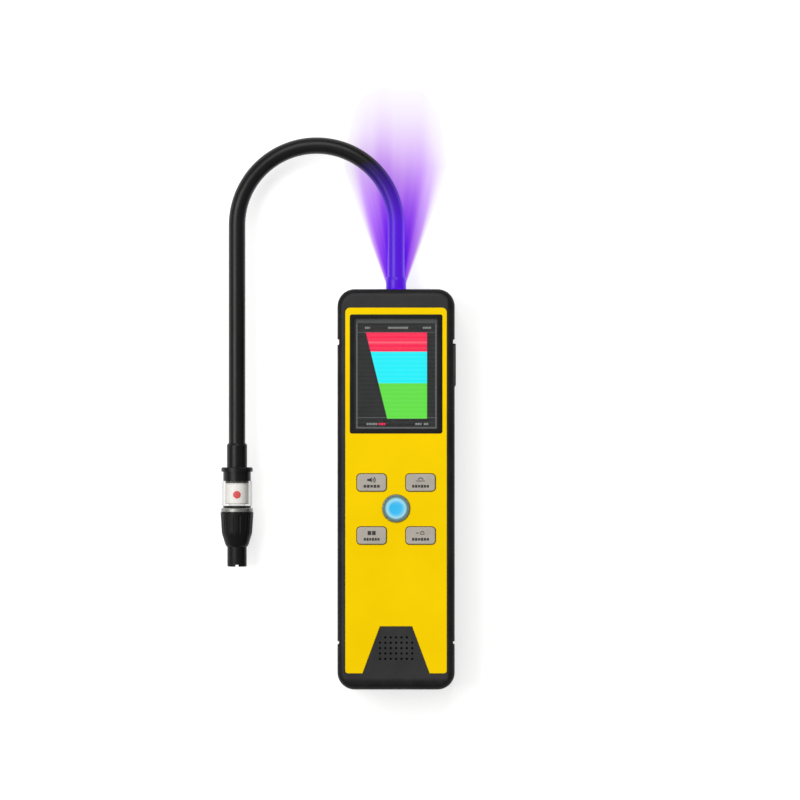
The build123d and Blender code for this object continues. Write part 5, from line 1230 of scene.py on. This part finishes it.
class DETECTOR_OT_lamp(bpy.types.Operator):
    """Lights the ultraviolet lamp's lens and throws its light on the gooseneck's foot"""

    bl_idname = "detector.lamp"
    bl_label = "Light the lamp"

    def execute(self, context):
        glow = settings().glow
        dress(glowing("lamp_lens", glow.lamp, 1.0, LENS_MIDDLE, Roughness=0.2, Specular_IOR_Level=0.2),
              "uv_lamp_lens")
        dress(moulded("emitter_white", srgb(232, 230, 222), roughness=0.4, tone=0.05), "uv_emitter")
        hang_light("lamp_glow", "SPOT", (LENS_MIDDLE.x, LENS_FRONT + LAMP_GAP, LENS_MIDDLE.z),
                   Vector((0, LENS_FRONT + LAMP_AIM, NECK_HEIGHT)), glow.lamp_power, glow.lamp,
                   spot_size=LAMP_SPREAD, spot_blend=LAMP_SOFT_EDGE, shadow_soft_size=LAMP_SIZE)
        return {"FINISHED"}


# The speaker's gauze: its pitch, its radius, its margin at the sides, and its thickness in wire radii
GAUZE_PITCH = 0.6 * MM
GAUZE_RADIUS = 9.8 * MM
GAUZE_MARGIN = 0.1 * MM
GAUZE_WIRES = 4.4


class DETECTOR_OT_gauze(bpy.types.Operator):
    """Weaves the dust gauze behind the speaker's holes"""

    bl_idname = "detector.gauze"
    bl_label = "Weave the speaker gauze"

    def execute(self, context):
        wire = turned_metal("mesh_fabric", srgb(58, 58, 60), 0.4, (1.0, 1.0, 1.0), wear=0.1)
        low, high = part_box("speaker_mesh")
        size = high - low
        values = {
            "Half Width": size.x / 2 - GAUZE_MARGIN, "Half Length": size.y / 2 - GAUZE_MARGIN,
            "Round Radius": GAUZE_RADIUS, "Pitch": GAUZE_PITCH, "Wire Radius": size.z / GAUZE_WIRES,
            "Centre": tuple(middle_of("speaker_mesh")), "Material": wire}
        mesh = run_tree("speaker_gauze", woven_gauze, bpy.data.meshes.new("speaker_gauze_start"), values)
        piece = new_piece("speaker_gauze", mesh, wire, "housing")
        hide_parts("speaker_mesh")
        return {"FINISHED"}


# Finishes inside the housing: name, colour, roughness, change of tone or stretch of the lines, and the nodes
INSIDE_PLASTICS = (
    ("switch_black", srgb(30, 30, 32), 0.4, 0.1, ("tact_switches",)),
    ("plunger_plastic", srgb(222, 220, 214), 0.45, 0.05,
     ("power_plunger", *(name.replace("key", "plunger") for name in KEY_NAMES))),
    ("speaker_black", srgb(34, 34, 36), 0.6, 0.2, ("speaker",)))
INSIDE_METALS = (
    ("screw_steel", srgb(182, 182, 180), 0.3, (1.0, 1.0, 8.0), ("case_screws", "board_screws")),
    ("contact_brass", srgb(214, 176, 96), 0.25, (1.0, 1.0, 20.0), ("battery_contacts",)),
    ("motor_steel", srgb(168, 170, 172), 0.3, (1.0, 30.0, 1.0), ("pump_motor",)),
    ("cell_aluminium", srgb(204, 206, 208), 0.26, (1.0, 40.0, 1.0), ("infrared_cell",)),
    ("can_metal", srgb(214, 196, 150), 0.22, (1.0, 40.0, 1.0), ("infrared_emitter", "infrared_detector")))


class DETECTOR_OT_inside(bpy.types.Operator):
    """Gives every piece inside the housing its finish"""

    bl_idname = "detector.inside"
    bl_label = "Dress the inside"

    def execute(self, context):
        for name, colour, roughness, tone, nodes in INSIDE_PLASTICS:
            dress(moulded(name, colour, roughness=roughness, tone=tone), *nodes)
        for name, colour, roughness, stretch, nodes in INSIDE_METALS:
            dress(turned_metal(name, colour, roughness, stretch), *nodes)
        pump = moulded("pump_plastic", srgb(58, 60, 64), roughness=0.5, tone=0.15, wear=0.2)
        board = circuit_board("board_green", srgb(18, 84, 48), srgb(44, 128, 74), srgb(196, 176, 120))
        cell = wrapped_cell("cell_wrap", srgb(40, 92, 160), srgb(226, 226, 222), srgb(190, 190, 188))
        dress(pump, "pump_head", "battery_cradle")
        dress(board, "main_board", "uv_lamp_board")
        dress(cell, "battery_cell")
        dress(clear_hose("hose_clear"), "pump_hose", "exhaust_hose")
        return {"FINISHED"}


# The two soft lamps: where each hangs from the detector, and its share of the power
SOFT_LAMPS = (("soft_lamp_left", (-0.58, 0.08, 0.81), 0.56), ("soft_lamp_top", (-0.06, 0.6, 0.8), 0.44))
SOFT_LIGHT = (1.0, 0.995, 0.985)

SENSOR_WIDTH = 36.0
FAR_CLIP = 100.0
FLOOR_HALF = 20.0
FLOOR_Z = -0.05 * MM

# The lamp's fan of violet light painted on the floor: its half width at the lens and where it stops widening,
# how strong it is, how fast it fades, how much of the red, green and blue it takes out, how brightly the
# floor glows in it, and the share of the floor's own colour that is left there
POOL_HALF_START = 4.2 * MM
POOL_HALF_END = 26.5 * MM
POOL_SPREAD_END = 64 * MM
POOL_DEPTH = 7.9
POOL_FADE = 2.6
POOL_SHARES = (0.45, 1.0, 0.045)
POOL_LIFT = 0.8
POOL_DIMMED = 0.3


class DETECTOR_OT_stage(bpy.types.Operator):
    """Lays the floor, hangs the soft lamps, sets the surround and places the camera"""

    bl_idname = "detector.stage"
    bl_label = "Set the stage"

    def execute(self, context):
        sizes = settings().stage
        self.floor(sizes)
        self.surround(sizes)
        centre = Vector(sizes.view_centre)
        for name, direction, share in SOFT_LAMPS:
            hang_light(name, "AREA", centre + Vector(direction).normalized() * sizes.lamp_distance, centre,
                       sizes.lamp_power * share, SOFT_LIGHT, shape="SQUARE", size=sizes.lamp_size)
        view = bpy.data.cameras.new("overhead_camera")
        view.lens = sizes.lens
        view.sensor_width = SENSOR_WIDTH
        view.clip_end = FAR_CLIP
        camera = new_object("overhead_camera", view)
        camera.location = centre + Vector((0, 0, sizes.view_width * sizes.lens / SENSOR_WIDTH))
        context.scene.camera = camera
        context.scene.view_settings.view_transform = "Standard"
        return {"FINISHED"}

    def floor(self, sizes):
        """A wide pale floor just under the housing's back, with the lamp's violet light painted on it."""
        mesh = bpy.data.meshes.new("floor")
        corners = rectangle(-FLOOR_HALF, -FLOOR_HALF, FLOOR_HALF, FLOOR_HALF)
        mesh.from_pydata([(x, y, FLOOR_Z) for x, y in corners], [], [(0, 1, 2, 3)])
        material, wires, shader, place = start_material("floor_pale", Roughness=0.85, Specular_IOR_Level=0.1)
        cloud = wires.noise(place, FLOOR_CLOUDS, detail=3.0)
        pale = wires.blend(cloud, shade(sizes.floor_colour, 0.99), sizes.floor_colour)
        # Painted light: inside the lamp's fan the floor takes the violet colour and glows more
        pool, depth = self.painted_lamp_pool(wires, place, sizes)
        in_painted_pool = wires.stretch(depth, 0.0, 0.04)
        dimmed = wires.blend(in_painted_pool, pale, shade(sizes.floor_colour, POOL_DIMMED))
        ray = wires.add("ShaderNodeLightPath").outputs
        seen = wires.math("ADD", ray["Is Camera Ray"], ray["Is Glossy Ray"])
        seen = wires.math("ADD", seen, ray["Is Transmission Ray"], clamp=True)
        lift = wires.stretch(in_painted_pool, 0.0, 1.0, sizes.floor_lift, POOL_LIFT)
        wires.feed(shader, Base_Color=wires.blend(1.0, dimmed, pool, "MULTIPLY"), Emission_Color=pool,
                   Emission_Strength=wires.times(seen, lift))
        floor = new_piece("floor", mesh, material)

    def painted_lamp_pool(self, wires, place, sizes):
        """The lamp's violet light painted on the floor: a fan of soft rays that takes out green first, then
        red.
        """
        parts = wires.split(place)
        away = wires.math("SUBTRACT", parts["Y"], LENS_FRONT)
        side = wires.math("SUBTRACT", parts["X"], LENS_MIDDLE.x)
        along = wires.math("DIVIDE", away, sizes.pool_length)
        half = wires.stretch(away, 0.0, POOL_SPREAD_END, POOL_HALF_START, POOL_HALF_END)
        across = wires.math("DIVIDE", side, half)
        off = wires.math("ABSOLUTE", across)
        body = wires.stretch(off, 0.3, 1.0, 1.0, 0.16)
        edge = wires.stretch(off, wires.stretch(along, 0.2, 0.8, 0.94, 0.55), 1.08, 1.0, 0.0)
        ray_place = wires.vector(X=wires.times(across, 3.2), Y=wires.times(along, 0.35))
        rays = wires.noise(ray_place, 1.0, detail=1.0)
        uneven = wires.stretch(rays, 0.35, 0.65, 0.85, 1.15)
        started = wires.stretch(along, -0.01, 0.02)
        fade = wires.math("POWER", wires.math("SUBTRACT", 1.0, along, clamp=True), POOL_FADE)
        depth = wires.times(body, edge, uneven, started, fade, POOL_DEPTH)
        red, green, blue = (wires.math("EXPONENT", wires.times(depth, -share)) for share in POOL_SHARES)
        return wires.add("ShaderNodeCombineColor", Red=red, Green=green, Blue=blue).outputs[0], depth

    def surround(self, sizes):
        """Plain pale light from all round."""
        world = bpy.data.worlds.new("pale_surround")
        bpy.context.scene.world = world
        world.use_nodes = True
        background = world.node_tree.nodes["Background"]
        Wiring(world.node_tree).feed(background, Color=WHITE, Strength=sizes.surround)


class DETECTOR_PT_panel(bpy.types.Panel):
    """The detector's settings and steps"""

    bl_idname = "DETECTOR_PT_panel"
    bl_label = "Leak detector"
    bl_space_type = "VIEW_3D"
    bl_region_type = "UI"
    bl_category = "Detector"

    def draw(self, context):
        look = context.scene.leak_detector
        for group in (look.neck, look.housing, look.display, look.probe, look.glow, look.stage):
            box = self.layout.box()
            box.label(text=group.bl_rna.description)
            for name in group.__annotations__:
                box.prop(group, name)
        for step in STEPS:
            self.layout.operator(step.bl_idname)


STEPS = (
    DETECTOR_OT_stage,
    DETECTOR_OT_housing,
    DETECTOR_OT_panel,
    DETECTOR_OT_display,
    DETECTOR_OT_keys,
    DETECTOR_OT_power_button,
    DETECTOR_OT_gooseneck,
    DETECTOR_OT_probe,
    DETECTOR_OT_lamp,
    DETECTOR_OT_gauze,
    DETECTOR_OT_inside,
)
GROUPS = (GooseneckSizes, HousingColours, DisplayPicture, ProbeColours, GlowingParts, StageSizes,
          LeakDetectorSettings)


def register():
    """Registers the settings, the steps and the panel."""
    for kind in (*GROUPS, *STEPS, DETECTOR_PT_panel):
        bpy.utils.register_class(kind)
    bpy.types.Scene.leak_detector = bpy.props.PointerProperty(type=LeakDetectorSettings)


def unregister():
    """Takes them away again."""
    del bpy.types.Scene.leak_detector
    for kind in reversed((*GROUPS, *STEPS, DETECTOR_PT_panel)):
        bpy.utils.unregister_class(kind)


def main():
    """Runs every step in order."""
    register()
    for step in STEPS:
        getattr(bpy.ops.detector, step.bl_idname.partition(".")[2])()


if __name__ == "__main__":
    main()
